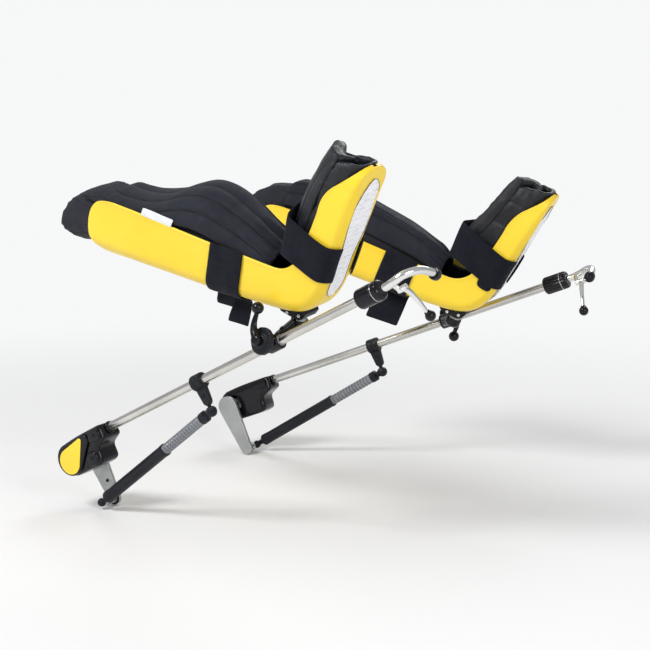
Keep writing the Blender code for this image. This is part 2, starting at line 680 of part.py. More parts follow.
def trigger(side, sign, bodies):
    """Lever that is squeezed towards the grip, and the ball on its end."""
    body = bodies["trigger"]
    reach = Vector((TRIGGER_END[0] - TRIGGER_PIN[0], -sign * (TRIGGER_END[1] - TRIGGER_PIN[1]),
                    TRIGGER_END[2] - TRIGGER_PIN[2]))
    short = reach * (1 - (TRIGGER_BALL_R - 0.0015) / reach.length)
    lever = part(f"{side}_trigger_lever", rod_mesh((-0.0052, 0, 0), (0.0062, 0, 0), 0.006, None, 16),
                 body, "steel")
    bar = rod_mesh(reach.normalized() * 0.001, short, 0.0052, 0.0038, 16)
    combine(lever, tool(bar, body), "UNION")
    combine(lever, tool(rod_mesh((-0.02, 0, 0), (0.02, 0, 0), 0.0028, None, 12), body), "DIFFERENCE")
    ball = part(f"{side}_trigger_ball", ball_mesh(reach, TRIGGER_BALL_R, 16), body, "black_gloss")
    socket = rod_mesh(reach * 0.5, short + reach.normalized() * GAP, 0.0041, None, 16)
    combine(ball, tool(socket, body), "DIFFERENCE")


# ---------------------------------------------------------------- clamp

def clamp_liner(side, bodies):
    profile = [(ROD_R + GAP, -LINER_HALF), (ROD_R + GAP, LINER_HALF), (LINER_R, LINER_HALF),
               (LINER_R, -LINER_HALF)]
    part(f"{side}_clamp_liner", turned_mesh(profile, True), bodies["liner"], "plate_grey",
         frame_along((0, 0, 0), (1, 0, 0)))


def clamp_block(side, sign, bodies):
    """Ring on the rod and arm to the cup that holds the boot's ball."""
    body = bodies["clamp"]
    profile = [(0.006, -RING_HALF), (0.006, RING_HALF), (RING_R - 0.002, RING_HALF),
               (RING_R, RING_HALF - 0.002), (RING_R, -RING_HALF + 0.002),
               (RING_R - 0.002, -RING_HALF)]
    block = part(f"{side}_clamp_block", turned_mesh(profile, True), body, "black_satin",
                 frame_along((0, 0, 0), (1, 0, 0)))
    reach = (CLAMP_ARM[0] - 0.008, CLAMP_ARM[1] - 0.008)
    arm = slab_mesh(belt((0.002, 0.012), 0.0115, reach, 0.0095), -0.0105, 0.0105)
    combine(block, tool(arm, body), "UNION")
    pose = bodies["ball"].matrix_local
    cup = rod_mesh((0, 0, -0.0165), (0, 0, 0.002), CUP_R, None, 24)
    combine(block, tool(cup, body, pose), "UNION")
    combine(block, tool(ball_mesh((0, 0, 0), BALL_R + GAP, 20), body, pose), "DIFFERENCE")
    above = rod_mesh((0, 0, 0.0021), (0, 0, 0.05), CUP_R + 0.012)
    combine(block, tool(above, body, pose), "DIFFERENCE")
    bore = rod_mesh((-0.05, 0, 0), (0.05, 0, 0), LINER_R + GAP)
    combine(block, tool(bore, body), "DIFFERENCE")


def clamp_knob(side, bodies):
    """Round knob on the clamp's screw, and the lever that turns it."""
    body = bodies["knob"]
    back = KNOB_FACE
    front = KNOB_FACE + KNOB_THICK
    profile = [(0, RING_R + 0.0015), (0.005, RING_R + 0.0015), (0.005, back), (KNOB_R - 0.002, back),
               (KNOB_R, back + 0.002), (KNOB_R, front - 0.003), (KNOB_R - 0.003, front),
               (0.012, front), (0.011, front + 0.004), (0, front + 0.004)]
    part(f"{side}_clamp_knob", turned_mesh(profile[::-1], False, 32), body, "black_satin")


def clamp_lever(side, sign, bodies):
    """Curved lever standing out from the knob's face, with a ball end."""
    body = bodies["knob"]
    level = KNOB_FACE + KNOB_THICK + 0.0043
    up = body.matrix_world.to_3x3().inverted() @ Vector((0, 0, 1))
    up = Vector((up.x, up.y, 0)).normalized()
    up.rotate(Matrix.Rotation(radians(LEVER_TURN[side]), 3, "Z"))
    back = Vector((0, 0, 1)).cross(up) * -sign
    back.rotate(Matrix.Rotation(0, 3, "Z"))
    out = Vector((0, 0, level + 0.0076))
    route = [out - 0.004 * up, out + 0.014 * up + 0.007 * back, out + 0.032 * up + 0.009 * back,
             out + (LEVER_REACH - 0.010) * up + 0.002 * back]
    lever = part(f"{side}_clamp_lever", tube_mesh(route, 0.0075, 2, (1.0, 0.62)), body,
                 "black_satin")
    ball = ball_mesh(out + LEVER_REACH * up, LEVER_BALL_R, 16)
    combine(lever, tool(ball, body), "UNION")
    washer = rod_mesh((0, 0, level), (0, 0, level + 0.013), 0.010, None, 20)
    combine(lever, tool(washer, body), "UNION")


# ---------------------------------------------------------------- boot

def shell_section(station, sign, inset=0.0, keep=1.0):
    """Cross-section of the boot, rim to rim; inset moves it inward, keep shortens the walls."""
    fx, fz, rx, rz, half_floor, half_rim, corner = station
    height = hypot(rx - fx, rz - fz)
    ux, uz = (rx - fx) / height, (rz - fz) / height
    half_floor = half_floor - inset
    half_rim = half_rim - inset
    corner = max(min(corner - inset, 0.8 * (height - inset)), 0.001)
    low = corner / height
    sides = []
    for top in (keep, max(keep * INNER_WALL, low + 0.02)):
        side = []
        for part_up in (1.0, 0.84, 0.6, 0.3):
            share = low + (top - low) * part_up
            side.append((half_floor + (half_rim - half_floor) * share, height * share))
        for step in range(5):
            angle = radians(90 - 22.5 * step)
            widen = (half_rim - half_floor) * low * (1 - cos(angle))
            side.append((half_floor - corner + corner * sin(angle) + widen,
                         inset + corner * (1 - cos(angle))))
        sides.append(side)
    outer, inner = sides
    section = [(sign * y, h) for y, h in outer] + [(0.0, inset)]
    section += [(-sign * y, h) for y, h in reversed(inner)]
    return [(fx + ux * h, y, fz + uz * h) for y, h in section][::sign]


def boot_shell(side, sign, bodies):
    rows = [shell_section(station, sign) for station in SHELL_LINES]
    floor = SHELL_LINES[0][1]
    bowed = []
    for x, y, z in rows[0]:
        rim = rows[0][0][2] if y * rows[0][0][1] > 0 else rows[0][-1][2]
        level = 2 * (z - floor) / (rim - floor) - 1
        bowed.append((x - CALF_END_BOW * max(0.0, 1 - level * level) ** 0.5, y, z))
    rows[0] = bowed
    part(f"{side}_boot_shell", band_mesh(rows, SHELL), bodies["boot"], "yellow_shell")


def boot_ball(side, bodies):
    """Ball and stem that the boot stands on."""
    top = STEM_TOP - BALL_IN_BOOT[2]
    ball = part(f"{side}_boot_ball", ball_mesh((0, 0, 0), BALL_R, 20), bodies["ball"], "steel")
    combine(ball, tool(rod_mesh((0, 0, 0), (0, 0, top), STEM_R), bodies["ball"]), "UNION")


def heel_bracket(side, bodies):
    """Block screwed under the heel; the boot swivels on its stem."""
    outline = [(-0.093, -0.0742), (-0.062, -0.0676), (-0.036, -0.0562), (-0.031, -0.062),
               (-0.036, -0.074), (-0.044, -0.0800), (-0.068, -0.0800), (-0.088, -0.0785)]
    block = part(f"{side}_heel_bracket", slab_mesh(outline, -0.023, 0.023), bodies["boot"],
                 "black_satin")
    soften(block, 0.0015, 1)
    x, y, z = BALL_IN_BOOT
    hole = rod_mesh((x, y, z - 0.01), (x, y, STEM_TOP + 0.0010), STEM_R + GAP)
    combine(block, tool(hole, bodies["boot"]), "DIFFERENCE")
    dimple = ball_mesh((x, y, z), BALL_R + 2 * GAP, 20)
    combine(block, tool(dimple, bodies["boot"]), "DIFFERENCE")


def station_at(x):
    """Calf station of the shell at x along the calf, read between its lines."""
    lines = SHELL_LINES[:CALF_SHELLS]
    if x <= lines[0][0]:
        return (x, *lines[0][1:2], x, *lines[0][3:])
    for low, high in zip(lines, lines[1:]):
        if low[0] <= x <= high[0]:
            share = (x - low[0]) / (high[0] - low[0])
            return tuple(a + (b - a) * share for a, b in zip(low, high))
    return lines[-1]


def calf_ring(x, top, inset, sign):
    """Closed section of the calf pad: trough below, ridge over the shin above."""
    sag = CALF_DROP * max(0.0, (-0.560 - x) / 0.030)
    fx, fz, rx, rz, half_floor, half_rim, corner = station_at(x)
    low = fz + SHELL + PAD_GAP + inset - sag
    high = top - inset
    half = half_rim - SHELL - PAD_GAP - inset - 0.0052
    middle = min(rz - 0.010, (low + high) / 2) - sag
    ring = []
    for step in range(20):
        angle = 2 * pi * (step + 0.5) / 20
        turn_y, turn_z = sin(angle), cos(angle)
        y = half * abs(turn_y) ** 0.75 * (1 if turn_y >= 0 else -1)
        reach = (high - middle) if turn_z > 0 else (middle - low)
        z = middle + reach * abs(turn_z) ** 0.9 * (1 if turn_z >= 0 else -1)
        if turn_z > 0:
            y -= sign * CALF_LEAN * turn_z * (1 - abs(turn_y)) * 1.6
        else:
            y *= 1 - 0.14 * turn_z * turn_z
        past = CALF_PAD_BOW * max(0.0, (-0.52 - x) / 0.07) * abs(turn_y) ** 1.5
        ring.append((x - past, y, z))
    return ring


def calf_pad(side, sign, bodies):
    outer = [calf_ring(x, top, 0.0, sign) for x, top in CALF_TOP[side]]
    inner = [calf_ring(x, top, CALF_PAD, sign) for x, top in CALF_TOP[side]]
    mesh = loft_mesh(outer + inner[::-1], closed_line=True)
    part(f"{side}_calf_pad", mesh, bodies["boot"], "pad_charcoal")


def sole_line(z):
    """Inner face of the shell's sole, at z up the foot."""
    lines = SHELL_LINES[CALF_SHELLS + 3:]
    for low, high in zip(lines, lines[1:]):
        if z <= high[1]:
            break
    share = (z - low[1]) / (high[1] - low[1])
    return low[0] + (high[0] - low[0]) * share - SHELL


def foot_ring(z, dorsal, inset, sign):
    """Closed section of the foot pad, across the foot."""
    sole = sole_line(z) - PAD_GAP - inset
    dorsal = dorsal + inset
    half = 0.0465 - inset
    if z > 0.21:
        half -= 0.16 * (z - 0.21)
    middle = (sole + dorsal) / 2
    reach = (sole - dorsal) / 2
    ring = []
    for step in range(20):
        angle = 2 * pi * (step + 0.5) / 20
        turn_y, turn_x = sin(angle), cos(angle)
        across = half * abs(turn_y) ** 0.6 * (1 if turn_y >= 0 else -1)
        along = middle + reach * abs(turn_x) ** 0.7 * (1 if turn_x >= 0 else -1)
        if turn_x < 0:
            along += sign * FOOT_LEAN * turn_y * -turn_x * 1.6
        ring.append((along, across, z + 0.10 * (middle - along)))
    return ring


def foot_pad(side, sign, bodies):
    outer = [foot_ring(z, dorsal, 0.0, sign) for z, dorsal in FOOT_TOP[side]]
    inner = [foot_ring(z, dorsal, FOOT_PAD, sign) for z, dorsal in FOOT_TOP[side]]
    mesh = loft_mesh(outer + inner[::-1], closed_line=True)
    part(f"{side}_foot_pad", mesh, bodies["boot"], "pad_charcoal")


def calf_strap(side, sign, bodies):
    """Wide strap round the underside of the calf shell, from rim to rim."""
    rows = []
    for step in range(3):
        x = CALF_STRAP_X[0] + (CALF_STRAP_X[1] - CALF_STRAP_X[0]) * step / 2
        rows.append(shell_section(station_at(x), sign, -STRAP_GAP, 0.97))
    part(f"{side}_calf_strap", band_mesh(rows, -STRAP_THICK), bodies["boot"], "strap_black")


def foot_strap(side, sign, bodies):
    """Wide strap over the instep, from one edge of the sole to the other."""
    rows = []
    for edge in (0, 1):
        row = []
        for x, y in FOOT_STRAP_LINE:
            share = min(1.0, max(0.0, -x / 0.10))
            low, high = FOOT_STRAP_EDGES[edge]
            bend = sign * FOOT_LEAN * 0.8 * (y / 0.05) if x < -0.09 else 0.0
            place = x + bend * min(1.0, (-x - 0.09) / 0.03)
            row.append((place, y, low + (high - low) * share))
        rows.append(row)
    part(f"{side}_foot_strap", band_mesh(rows, -STRAP_THICK), bodies["boot"], "strap_black")


# ---------------------------------------------------------------- the pair

def stirrup(side, sign):
    bodies, strut_length = body_frames(side, sign)
    bodies["release"] = empty(f"{side}_release_frame", bodies["leg"],
                              Matrix.Translation((0, 0, ROD_UP)))
    bpy.context.view_layer.update()
    mount_plate(side, sign, bodies)
    hip_lug(side, sign, bodies)
    strut_stud(side, sign, bodies)
    hip_yoke(side, sign, bodies)
    hip_housing(side, sign, bodies)
    hip_cover(side, sign, bodies)
    hip_badge(side, sign, bodies)
    main_rod(side, bodies)
    release_rod(side, bodies)
    strut_collar(side, bodies)
    strut_top(side, bodies, strut_length)
    strut_sleeve(side, bodies, strut_length)
    strut_ram(side, bodies)
    strut_foot(side, sign, bodies)
    handle_hub(side, bodies)
    handle_tube(side, sign, bodies)
    handle_cap(side, sign, bodies)
    trigger(side, sign, bodies)
    clamp_liner(side, bodies)
    clamp_block(side, sign, bodies)
    clamp_knob(side, bodies)
    clamp_lever(side, sign, bodies)
    boot_shell(side, sign, bodies)
    boot_ball(side, bodies)
    heel_bracket(side, bodies)
    calf_pad(side, sign, bodies)
    foot_pad(side, sign, bodies)
    calf_strap(side, sign, bodies)
    foot_strap(side, sign, bodies)


clear_scene()
PARTS = collection("leg_stirrup_pair")
CUTTERS = collection("cutters")
for side_name, side_sign in SIDES.items():
    stirrup(side_name, side_sign)
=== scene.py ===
"""Looks for a pair of boot-type leg stirrups with lift-assist struts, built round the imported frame.

Pieces are made in the frame of the body that they ride on, with the same numbers as the CAD model,
and are then placed.  +X is the foot end, +Y the patient's left, +Z up.  Lengths are metres.
"""

from math import acos, atan2, cos, hypot, pi, radians, sin, sqrt

import bmesh
import bpy
import numpy as np
from mathutils import Matrix, Vector, noise


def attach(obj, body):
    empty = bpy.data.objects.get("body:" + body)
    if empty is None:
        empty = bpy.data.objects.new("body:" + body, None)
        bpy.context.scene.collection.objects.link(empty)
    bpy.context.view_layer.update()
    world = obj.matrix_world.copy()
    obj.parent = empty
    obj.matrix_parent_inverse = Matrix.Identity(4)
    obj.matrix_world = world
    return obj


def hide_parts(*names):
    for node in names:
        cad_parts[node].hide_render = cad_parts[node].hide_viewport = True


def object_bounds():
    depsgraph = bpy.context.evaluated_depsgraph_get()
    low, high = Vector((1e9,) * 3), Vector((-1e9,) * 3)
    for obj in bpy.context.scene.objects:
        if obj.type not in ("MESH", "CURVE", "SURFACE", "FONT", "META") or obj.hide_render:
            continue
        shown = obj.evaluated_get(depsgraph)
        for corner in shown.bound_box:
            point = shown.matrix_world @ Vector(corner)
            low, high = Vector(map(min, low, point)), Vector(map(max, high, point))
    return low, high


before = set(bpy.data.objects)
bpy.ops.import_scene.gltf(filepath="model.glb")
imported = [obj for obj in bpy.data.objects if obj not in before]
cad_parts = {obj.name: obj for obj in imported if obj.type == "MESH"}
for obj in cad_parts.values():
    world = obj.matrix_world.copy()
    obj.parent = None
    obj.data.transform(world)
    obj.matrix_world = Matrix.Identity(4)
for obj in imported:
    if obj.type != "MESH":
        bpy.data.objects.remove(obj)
CAD_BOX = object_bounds()

# ---- the CAD model's own numbers ----
SIDES = {"right": -1, "left": 1}
PLATE_SPAN, HIP_OUT, SPREAD = 0.532, 0.0515, 6.5
LIFT = {"right": 27.0, "left": 21.5}
CLAMP_AT = {"right": 0.600, "left": 0.5790}
CLAMP_TURN = {"right": 65.6, "left": 92.0}
KNOB_RISE = 18.0
LEVER_TURN = {"right": 9.0, "left": 180.0}
BOOT_TURN = {"right": (3.7, 19.0, 8.5), "left": (11.0, 25.0, -5.0)}
STRUT_FOOT = (0.052, -0.096)
STUD_END = -0.0200
HOUSING_IN, HOUSING_OUT, HIP_BORE_R, HIP_BORE_END = -0.0300, 0.0305, 0.022, 0.0175
GAP = 0.0003
ROD_R, ROD_UP, ROD_START, ROD_END = 0.0095, 0.026, 0.026, 0.872
COLLAR_AT, COLLAR_R, ARM_DROP = 0.384, 0.0165, 0.0644
CYL_R, CYL_START, CYL_END = 0.0135, 0.019, 0.232
SLEEVE_R, SLEEVE_HIDDEN, SLEEVE_TOP_GAP = 0.0113, 0.085, 0.031
HUB_START, HUB_END, HUB_R = 0.824, 0.879, 0.020
TUBE_ROUTE = [(0.8798, 0.0, 0.026), (0.893, 0.0, 0.026), (0.910, 0.001, 0.0285), (0.930, 0.010, 0.032),
              (0.947, 0.036, 0.029), (0.951, 0.060, 0.020), (0.949, 0.074, 0.014)]
TRIGGER_PIN, TRIGGER_END = (0.913, 0.018, 0.011), (0.909, 0.066, -0.053)
RING_R, RING_HALF, CLAMP_ARM = 0.0165, 0.016, (0.037, 0.059)
BALL_R, CUP_R = 0.013, 0.0175
KNOB_R, KNOB_FACE, KNOB_THICK, LEVER_REACH, LEVER_BALL_R = 0.027, 0.030, 0.010, 0.062, 0.012
SHELL, PAD_GAP = 0.004, 0.0015
BALL_IN_BOOT = (-0.055, 0.0, -0.0895)
SHELL_LINES = [
    (-0.515, -0.130, -0.512, -0.004, 0.060, 0.071, 0.034),
    (-0.430, -0.119, -0.432, 0.001, 0.060, 0.070, 0.034),
    (-0.340, -0.108, -0.340, 0.006, 0.059, 0.069, 0.034),
    (-0.250, -0.097, -0.250, 0.011, 0.058, 0.067, 0.034),
    (-0.165, -0.084, -0.167, 0.016, 0.055, 0.062, 0.032),
    (-0.105, -0.075, -0.118, 0.018, 0.052, 0.058, 0.030),
    (-0.062, -0.066, -0.090, 0.021, 0.050, 0.056, 0.028),
    (-0.030, -0.052, -0.070, 0.033, 0.049, 0.055, 0.026),
    (-0.009, -0.031, -0.057, 0.052, 0.048, 0.054, 0.026),
    (0.003, -0.006, -0.049, 0.076, 0.048, 0.054, 0.025),
    (0.010, 0.024, -0.044, 0.102, 0.049, 0.054, 0.025),
    (0.015, 0.060, -0.039, 0.130, 0.050, 0.054, 0.025),
    (0.020, 0.098, -0.035, 0.158, 0.051, 0.053, 0.025),
    (0.026, 0.140, -0.032, 0.186, 0.052, 0.053, 0.024),
    (0.031, 0.182, -0.020, 0.212, 0.052, 0.053, 0.020),
    (0.035, 0.220, 0.001, 0.235, 0.050, 0.050, 0.013),
    (0.038, 0.250, 0.020, 0.256, 0.044, 0.044, 0.007),
    (0.040, 0.270, 0.031, 0.273, 0.035, 0.035, 0.004),
]
CALF_END_BOW, INNER_WALL, CALF_SHELLS = 0.044, 0.88, 6
TOE_FROM, TOE_END = 15.0, 17.02      # stations between which the toe rounds off
WALL_STEPS = (1.0, 0.96, 0.91, 0.84, 0.72, 0.58, 0.44, 0.30, 0.15)
CALF_TOP = {
    "right": [(-0.590, -0.020), (-0.560, -0.005), (-0.510, 0.014), (-0.440, 0.042), (-0.370, 0.068),
              (-0.300, 0.084), (-0.240, 0.086), (-0.190, 0.080), (-0.150, 0.068), (-0.128, 0.052)],
    "left": [(-0.566, -0.006), (-0.545, 0.014), (-0.500, 0.036), (-0.440, 0.060), (-0.370, 0.070),
             (-0.300, 0.070), (-0.240, 0.067), (-0.190, 0.063), (-0.150, 0.057), (-0.128, 0.045)],
}
WRAP_TOP = {
    "right": [(-0.590, -0.016), (-0.572, -0.008), (-0.550, -0.006), (-0.510, -0.004), (-0.470, 0.004),
              (-0.435, 0.016), (-0.400, 0.034), (-0.370, 0.056), (-0.335, 0.076), (-0.300, 0.085),
              (-0.270, 0.083), (-0.240, 0.076), (-0.190, 0.060), (-0.150, 0.044), (-0.128, 0.034)],
    "left": [(-0.566, 0.000), (-0.545, 0.016), (-0.500, 0.034), (-0.440, 0.054), (-0.370, 0.064),
             (-0.300, 0.064), (-0.240, 0.061), (-0.190, 0.055), (-0.150, 0.046), (-0.128, 0.036)],
}
CALF_PAD, CALF_LEAN, CALF_DROP, CALF_PAD_BOW = 0.016, 0.022, 0.022, 0.045
FOOT_TOP = {
    "right": [(0.052, -0.107), (0.090, -0.107), (0.130, -0.102), (0.170, -0.094), (0.210, -0.084),
              (0.245, -0.073), (0.264, -0.064)],
    "left": [(0.052, -0.107), (0.090, -0.105), (0.130, -0.092), (0.170, -0.077), (0.210, -0.066),
             (0.245, -0.056), (0.266, -0.046)],
}
FOOT_LEAN = 0.022
CALF_STRAP_X = (-0.247, -0.168)
FOOT_STRAP_HALF = [(0.0160, 0.0300), (0.0135, 0.0400), (0.0050, 0.0505), (-0.0100, 0.0560), (-0.045, 0.0568),
                   (-0.085, 0.0574), (-0.104, 0.0480), (-0.112, 0.0300)]
FOOT_STRAP_LINE = FOOT_STRAP_HALF + [(-0.113, 0.0)] + [(x, -y) for x, y in FOOT_STRAP_HALF[::-1]]
FOOT_STRAP_EDGES = ((0.030, 0.052), (0.106, 0.134))
STRAP_THICK, STRAP_GAP = 0.0025, 0.0006
SOLE_HALF, SOLE_CORNER = 0.049, 0.025

# ---- soft pieces ----
VOXEL, PRESSURE, LAST_FRAME = 0.0055, 4.0, 20
FLAP_THICK = 0.006
FLAP_EDGES = (-72.0, 79.0)
FLAP_SEAMS = ((-46, -26), (-14, -6), (14, 12), (40, 30), (64, 52))      # degrees at the thigh and ankle ends
SEAM_ANGLES = (-2.7, -1.9, -0.95, 0.95, 1.9, 2.7)
WELD = 0.000002


# ---------------------------------------------------------------- materials

def link(tree, source, target):
    tree.links.new(source, target)


class Paint:
    """A Principled material with a few texture steps.  Places come from the mesh's own "loc"."""

    def __init__(self, name, colour, roughness, metallic=0.0, coords="loc", **constants):
        self.material = bpy.data.materials.new(name)
        self.material.use_nodes = True
        self.tree = self.material.node_tree
        self.shader = self.tree.nodes["Principled BSDF"]
        constants.update(Metallic=metallic, Base_Color=(*colour, 1), Roughness=roughness)
        for key, value in constants.items():
            self.shader.inputs[key.replace("_", " ")].default_value = value
        if coords == "loc":
            place = self.step("Attribute")
            place.attribute_name = "loc"
            self.place = place.outputs["Vector"]
        else:
            self.place = self.step("TexCoord").outputs["Object"]
        self.height = None

    def step(self, kind, **constants):
        made = self.tree.nodes.new("ShaderNode" + kind)
        for key, value in constants.items():
            made.inputs[key.replace("_", " ")].default_value = value
        return made

    def texture(self, step, stretch):
        scaled = self.step("Mapping", Scale=stretch)
        link(self.tree, self.place, scaled.inputs["Vector"])
        link(self.tree, scaled.outputs["Vector"], step.inputs["Vector"])
        return step.outputs["Fac"]

    def noise(self, scale, detail=3.0, stretch=(1, 1, 1)):
        return self.texture(self.step("TexNoise", Scale=scale, Detail=detail), stretch)

    def wave(self, scale, axis="X", distortion=0.0, stretch=(1, 1, 1)):
        step = self.step("TexWave", Scale=scale, Distortion=distortion)
        step.bands_direction = axis
        return self.texture(step, stretch)

    def product(self, a, b):
        step = self.step("Math")
        step.operation = "MULTIPLY"
        link(self.tree, a, step.inputs[0])
        link(self.tree, b, step.inputs[1])
        return step.outputs["Value"]

    def weave(self, scale, axes, distortion):
        return self.product(*[self.wave(scale, axis, distortion) for axis in axes])

    def channel(self, axis):
        step = self.step("SeparateXYZ")
        link(self.tree, self.place, step.inputs["Vector"])
        return step.outputs[axis]

    def range(self, value, low, high, start=0.3, end=0.7):
        step = self.step("MapRange", From_Min=start, From_Max=end, To_Min=low, To_Max=high)
        link(self.tree, value, step.inputs["Value"])
        return step.outputs["Result"]

    def tint(self, fac, low, high, start=0.3, end=0.7):
        """Base colour from low to high as fac goes from start to end; low may be a socket."""
        step = self.step("Mix")
        step.data_type = "RGBA"
        link(self.tree, self.range(fac, 0.0, 1.0, start, end), step.inputs["Factor"])
        for name, value in (("A", low), ("B", high)):
            socket = [s for s in step.inputs if s.name == name and s.type == "RGBA"][0]
            if isinstance(value, tuple):
                socket.default_value = (*value, 1)
            else:
                link(self.tree, value, socket)
        out = [s for s in step.outputs if s.type == "RGBA"][0]
        link(self.tree, out, self.shader.inputs["Base Color"])
        return out

    def rough(self, fac, low, high):
        link(self.tree, self.range(fac, low, high), self.shader.inputs["Roughness"])

    def bump(self, value, depth, strength=1.0):
        step = self.step("Bump", Strength=strength, Distance=depth)
        link(self.tree, value, step.inputs["Height"])
        if self.height:
            link(self.tree, self.height, step.inputs["Normal"])
        self.height = step.outputs["Normal"]
        link(self.tree, self.height, self.shader.inputs["Normal"])


def plain_paint(name, colour, roughness, clouds, sheen, grains, **constants):
    """Clouded colour, clouded roughness, and fine noise bumps given as (scale, detail, depth, strength)."""
    p = Paint(name, colour, roughness, **constants)
    p.tint(p.noise(*clouds[:2]), *clouds[2:])
    p.rough(p.noise(*sheen[:2]), *sheen[2:])
    for scale, detail, depth, strength in grains:
        p.bump(p.noise(scale, detail), depth, strength)
    return p


def pad_cloth(name, colour, roughness, coords, axes, clouds, threads, wrinkle):
    """Matt coated weave; returns the paint and its last colour socket."""
    p = Paint(name, colour, roughness, coords=coords, Sheen_Weight=0.06, Sheen_Roughness=0.4,
              Specular_IOR_Level=0.22)
    weave = p.weave(330.0, axes, 0.8)
    shade = p.tint(weave, p.tint(p.noise(11.0, 5.0), *clouds), threads, 0.35, 1.6)
    p.rough(p.noise(60.0, 4.0), 0.60, 0.82)
    p.bump(weave, 0.00035, 0.7)
    p.bump(p.noise(34.0, 4.0), *wrinkle)
    return p, shade


def make_paints():
    paints = {
        "yellow_shell": plain_paint(
            "yellow_shell", (0.93, 0.66, 0.035), 0.36, (7.0, 4.0, (0.90, 0.62, 0.026), (0.94, 0.68, 0.040)),
            (38.0, 5.0, 0.27, 0.42), ((520.0, 2.0, 0.00012, 0.35), (24.0, 2.0, 0.0006, 0.25)),
            coords="object", Coat_Weight=0.2, Coat_Roughness=0.2, Specular_IOR_Level=0.35),
        "polished": plain_paint(
            "polished", (0.80, 0.80, 0.79), 0.12, (20.0, 4.0, (0.72, 0.72, 0.71), (0.86, 0.86, 0.85)),
            (70.0, 5.0, 0.07, 0.19), ((300.0, 2.0, 0.00004, 0.3),), metallic=1.0),
        "plate_grey": plain_paint(
            "plate_grey", (0.42, 0.43, 0.43), 0.45, (16.0, 5.0, (0.37, 0.38, 0.38), (0.48, 0.49, 0.49)),
            (90.0, 5.0, 0.36, 0.56), ((420.0, 3.0, 0.00012, 0.6),), metallic=0.85, coords="object"),
        "black_gloss": plain_paint(
            "black_gloss", (0.004, 0.004, 0.006), 0.16, (12.0, 4.0, (0.003, 0.003, 0.005), (0.006, 0.006, 0.009)),
            (55.0, 5.0, 0.11, 0.26), ((480.0, 2.0, 0.00006, 0.35),),
            coords="object", Coat_Weight=0.12, Coat_Roughness=0.04, Specular_IOR_Level=0.26),
        "black_satin": plain_paint(
            "black_satin", (0.008, 0.009, 0.013), 0.38, (18.0, 5.0, (0.006, 0.007, 0.010), (0.013, 0.014, 0.019)),
            (70.0, 5.0, 0.32, 0.52), ((650.0, 3.0, 0.00016, 0.6),), coords="object", Specular_IOR_Level=0.24),
    }
    paints["pad_charcoal"], _ = pad_cloth(
        "pad_charcoal", (0.018, 0.019, 0.026), 0.72, "object", "XZ",
        ((0.013, 0.014, 0.020), (0.024, 0.026, 0.034)), (0.036, 0.039, 0.050), (0.0022, 0.45))
    # the third channel of the wrap's "loc" is 1 along a seam and at the wrap's edges; there the cloth is darkened as
    # painted shade in the seam creases and at the edges
    p, shade = pad_cloth(
        "wrap_cloth", (0.014, 0.015, 0.023), 0.74, "loc", "XY",
        ((0.010, 0.011, 0.018), (0.018, 0.020, 0.030)), (0.030, 0.033, 0.045), (0.0020, 0.40))
    # painted shade: near-black along the seams and edges
    p.tint(p.channel("Z"), shade, (0.003, 0.003, 0.005), 0.1, 0.9)
    paints["wrap_cloth"] = p

    p = Paint("liner_nylon", (0.007, 0.008, 0.011), 0.40, coords="object", Sheen_Weight=0.03,
              Specular_IOR_Level=0.38)
    p.tint(p.noise(14.0, 5.0), (0.005, 0.006, 0.009), (0.012, 0.013, 0.018))
    p.rough(p.noise(45.0, 4.0), 0.30, 0.50)
    p.bump(p.weave(420.0, "XZ", 0.5), 0.0002, 0.5)
    p.bump(p.noise(46.0, 5.0, (1, 1, 0.45)), 0.0032, 0.55)
    paints["liner_nylon"] = p

    p = Paint("strap_black", (0.006, 0.007, 0.012), 0.80, Sheen_Weight=0.04, Sheen_Roughness=0.5,
              Specular_IOR_Level=0.12)
    ribs = p.product(p.wave(150.0, "Y", 0.3), p.wave(260.0, "X", 0.4))
    shade = p.tint(p.noise(22.0, 5.0), (0.005, 0.006, 0.011), (0.010, 0.011, 0.018))
    p.tint(ribs, shade, (0.016, 0.018, 0.028), 0.3, 1.3)
    p.rough(p.noise(80.0, 4.0), 0.66, 0.88)
    p.bump(ribs, 0.0005, 0.8)
    p.bump(p.noise(18.0, 3.0), 0.0016, 0.35)
    paints["strap_black"] = p

    p = Paint("steel", (0.62, 0.61, 0.58), 0.27, 1.0)
    lines = p.noise(60.0, 6.0, (0.05, 14.0, 14.0))
    p.tint(p.noise(9.0, 4.0), (0.55, 0.54, 0.51), (0.72, 0.71, 0.68))
    p.rough(lines, 0.20, 0.36)
    p.bump(lines, 0.00008, 0.4)
    paints["steel"] = p

    p = Paint("sleeve_grey", (0.20, 0.21, 0.23), 0.36, 0.35)
    shade = p.tint(p.noise(30.0, 4.0, (0.3, 1, 1)), (0.13, 0.14, 0.16), (0.22, 0.23, 0.25))
    # lighter bands along the sleeve at the rib pitch: painted highlights on the rib crests
    p.tint(p.wave(38.3, "X"), shade, (0.40, 0.42, 0.44), 0.55, 1.0)
    p.rough(p.noise(120.0, 4.0), 0.28, 0.46)
    p.bump(p.noise(500.0, 2.0), 0.00008, 0.4)
    paints["sleeve_grey"] = p

    p = Paint("label_film", (0.86, 0.86, 0.88), 0.32, Coat_Weight=0.2)
    shade = p.tint(p.noise(42.0, 4.0), (0.78, 0.79, 0.83), (0.92, 0.92, 0.93))
    p.tint(p.wave(26.0, "Y", 9.0, (1.6, 1.0, 1.0)), shade, (0.55, 0.53, 0.62), 0.965, 1.0)
    p.rough(p.noise(60.0, 3.0), 0.26, 0.42)
    p.bump(p.noise(200.0, 2.0), 0.00005, 0.3)
    paints["label_film"] = p

    p = Paint("tag_cloth", (0.72, 0.74, 0.76), 0.7, Sheen_Weight=0.1)
    shade = p.tint(p.noise(60.0, 4.0), (0.66, 0.68, 0.70), (0.80, 0.82, 0.83))
    p.tint(p.wave(90.0, "X"), shade, (0.60, 0.63, 0.67), 0.4, 1.4)
    p.bump(p.wave(900.0, "X", 0.2), 0.00015, 0.5)
    paints["tag_cloth"] = p

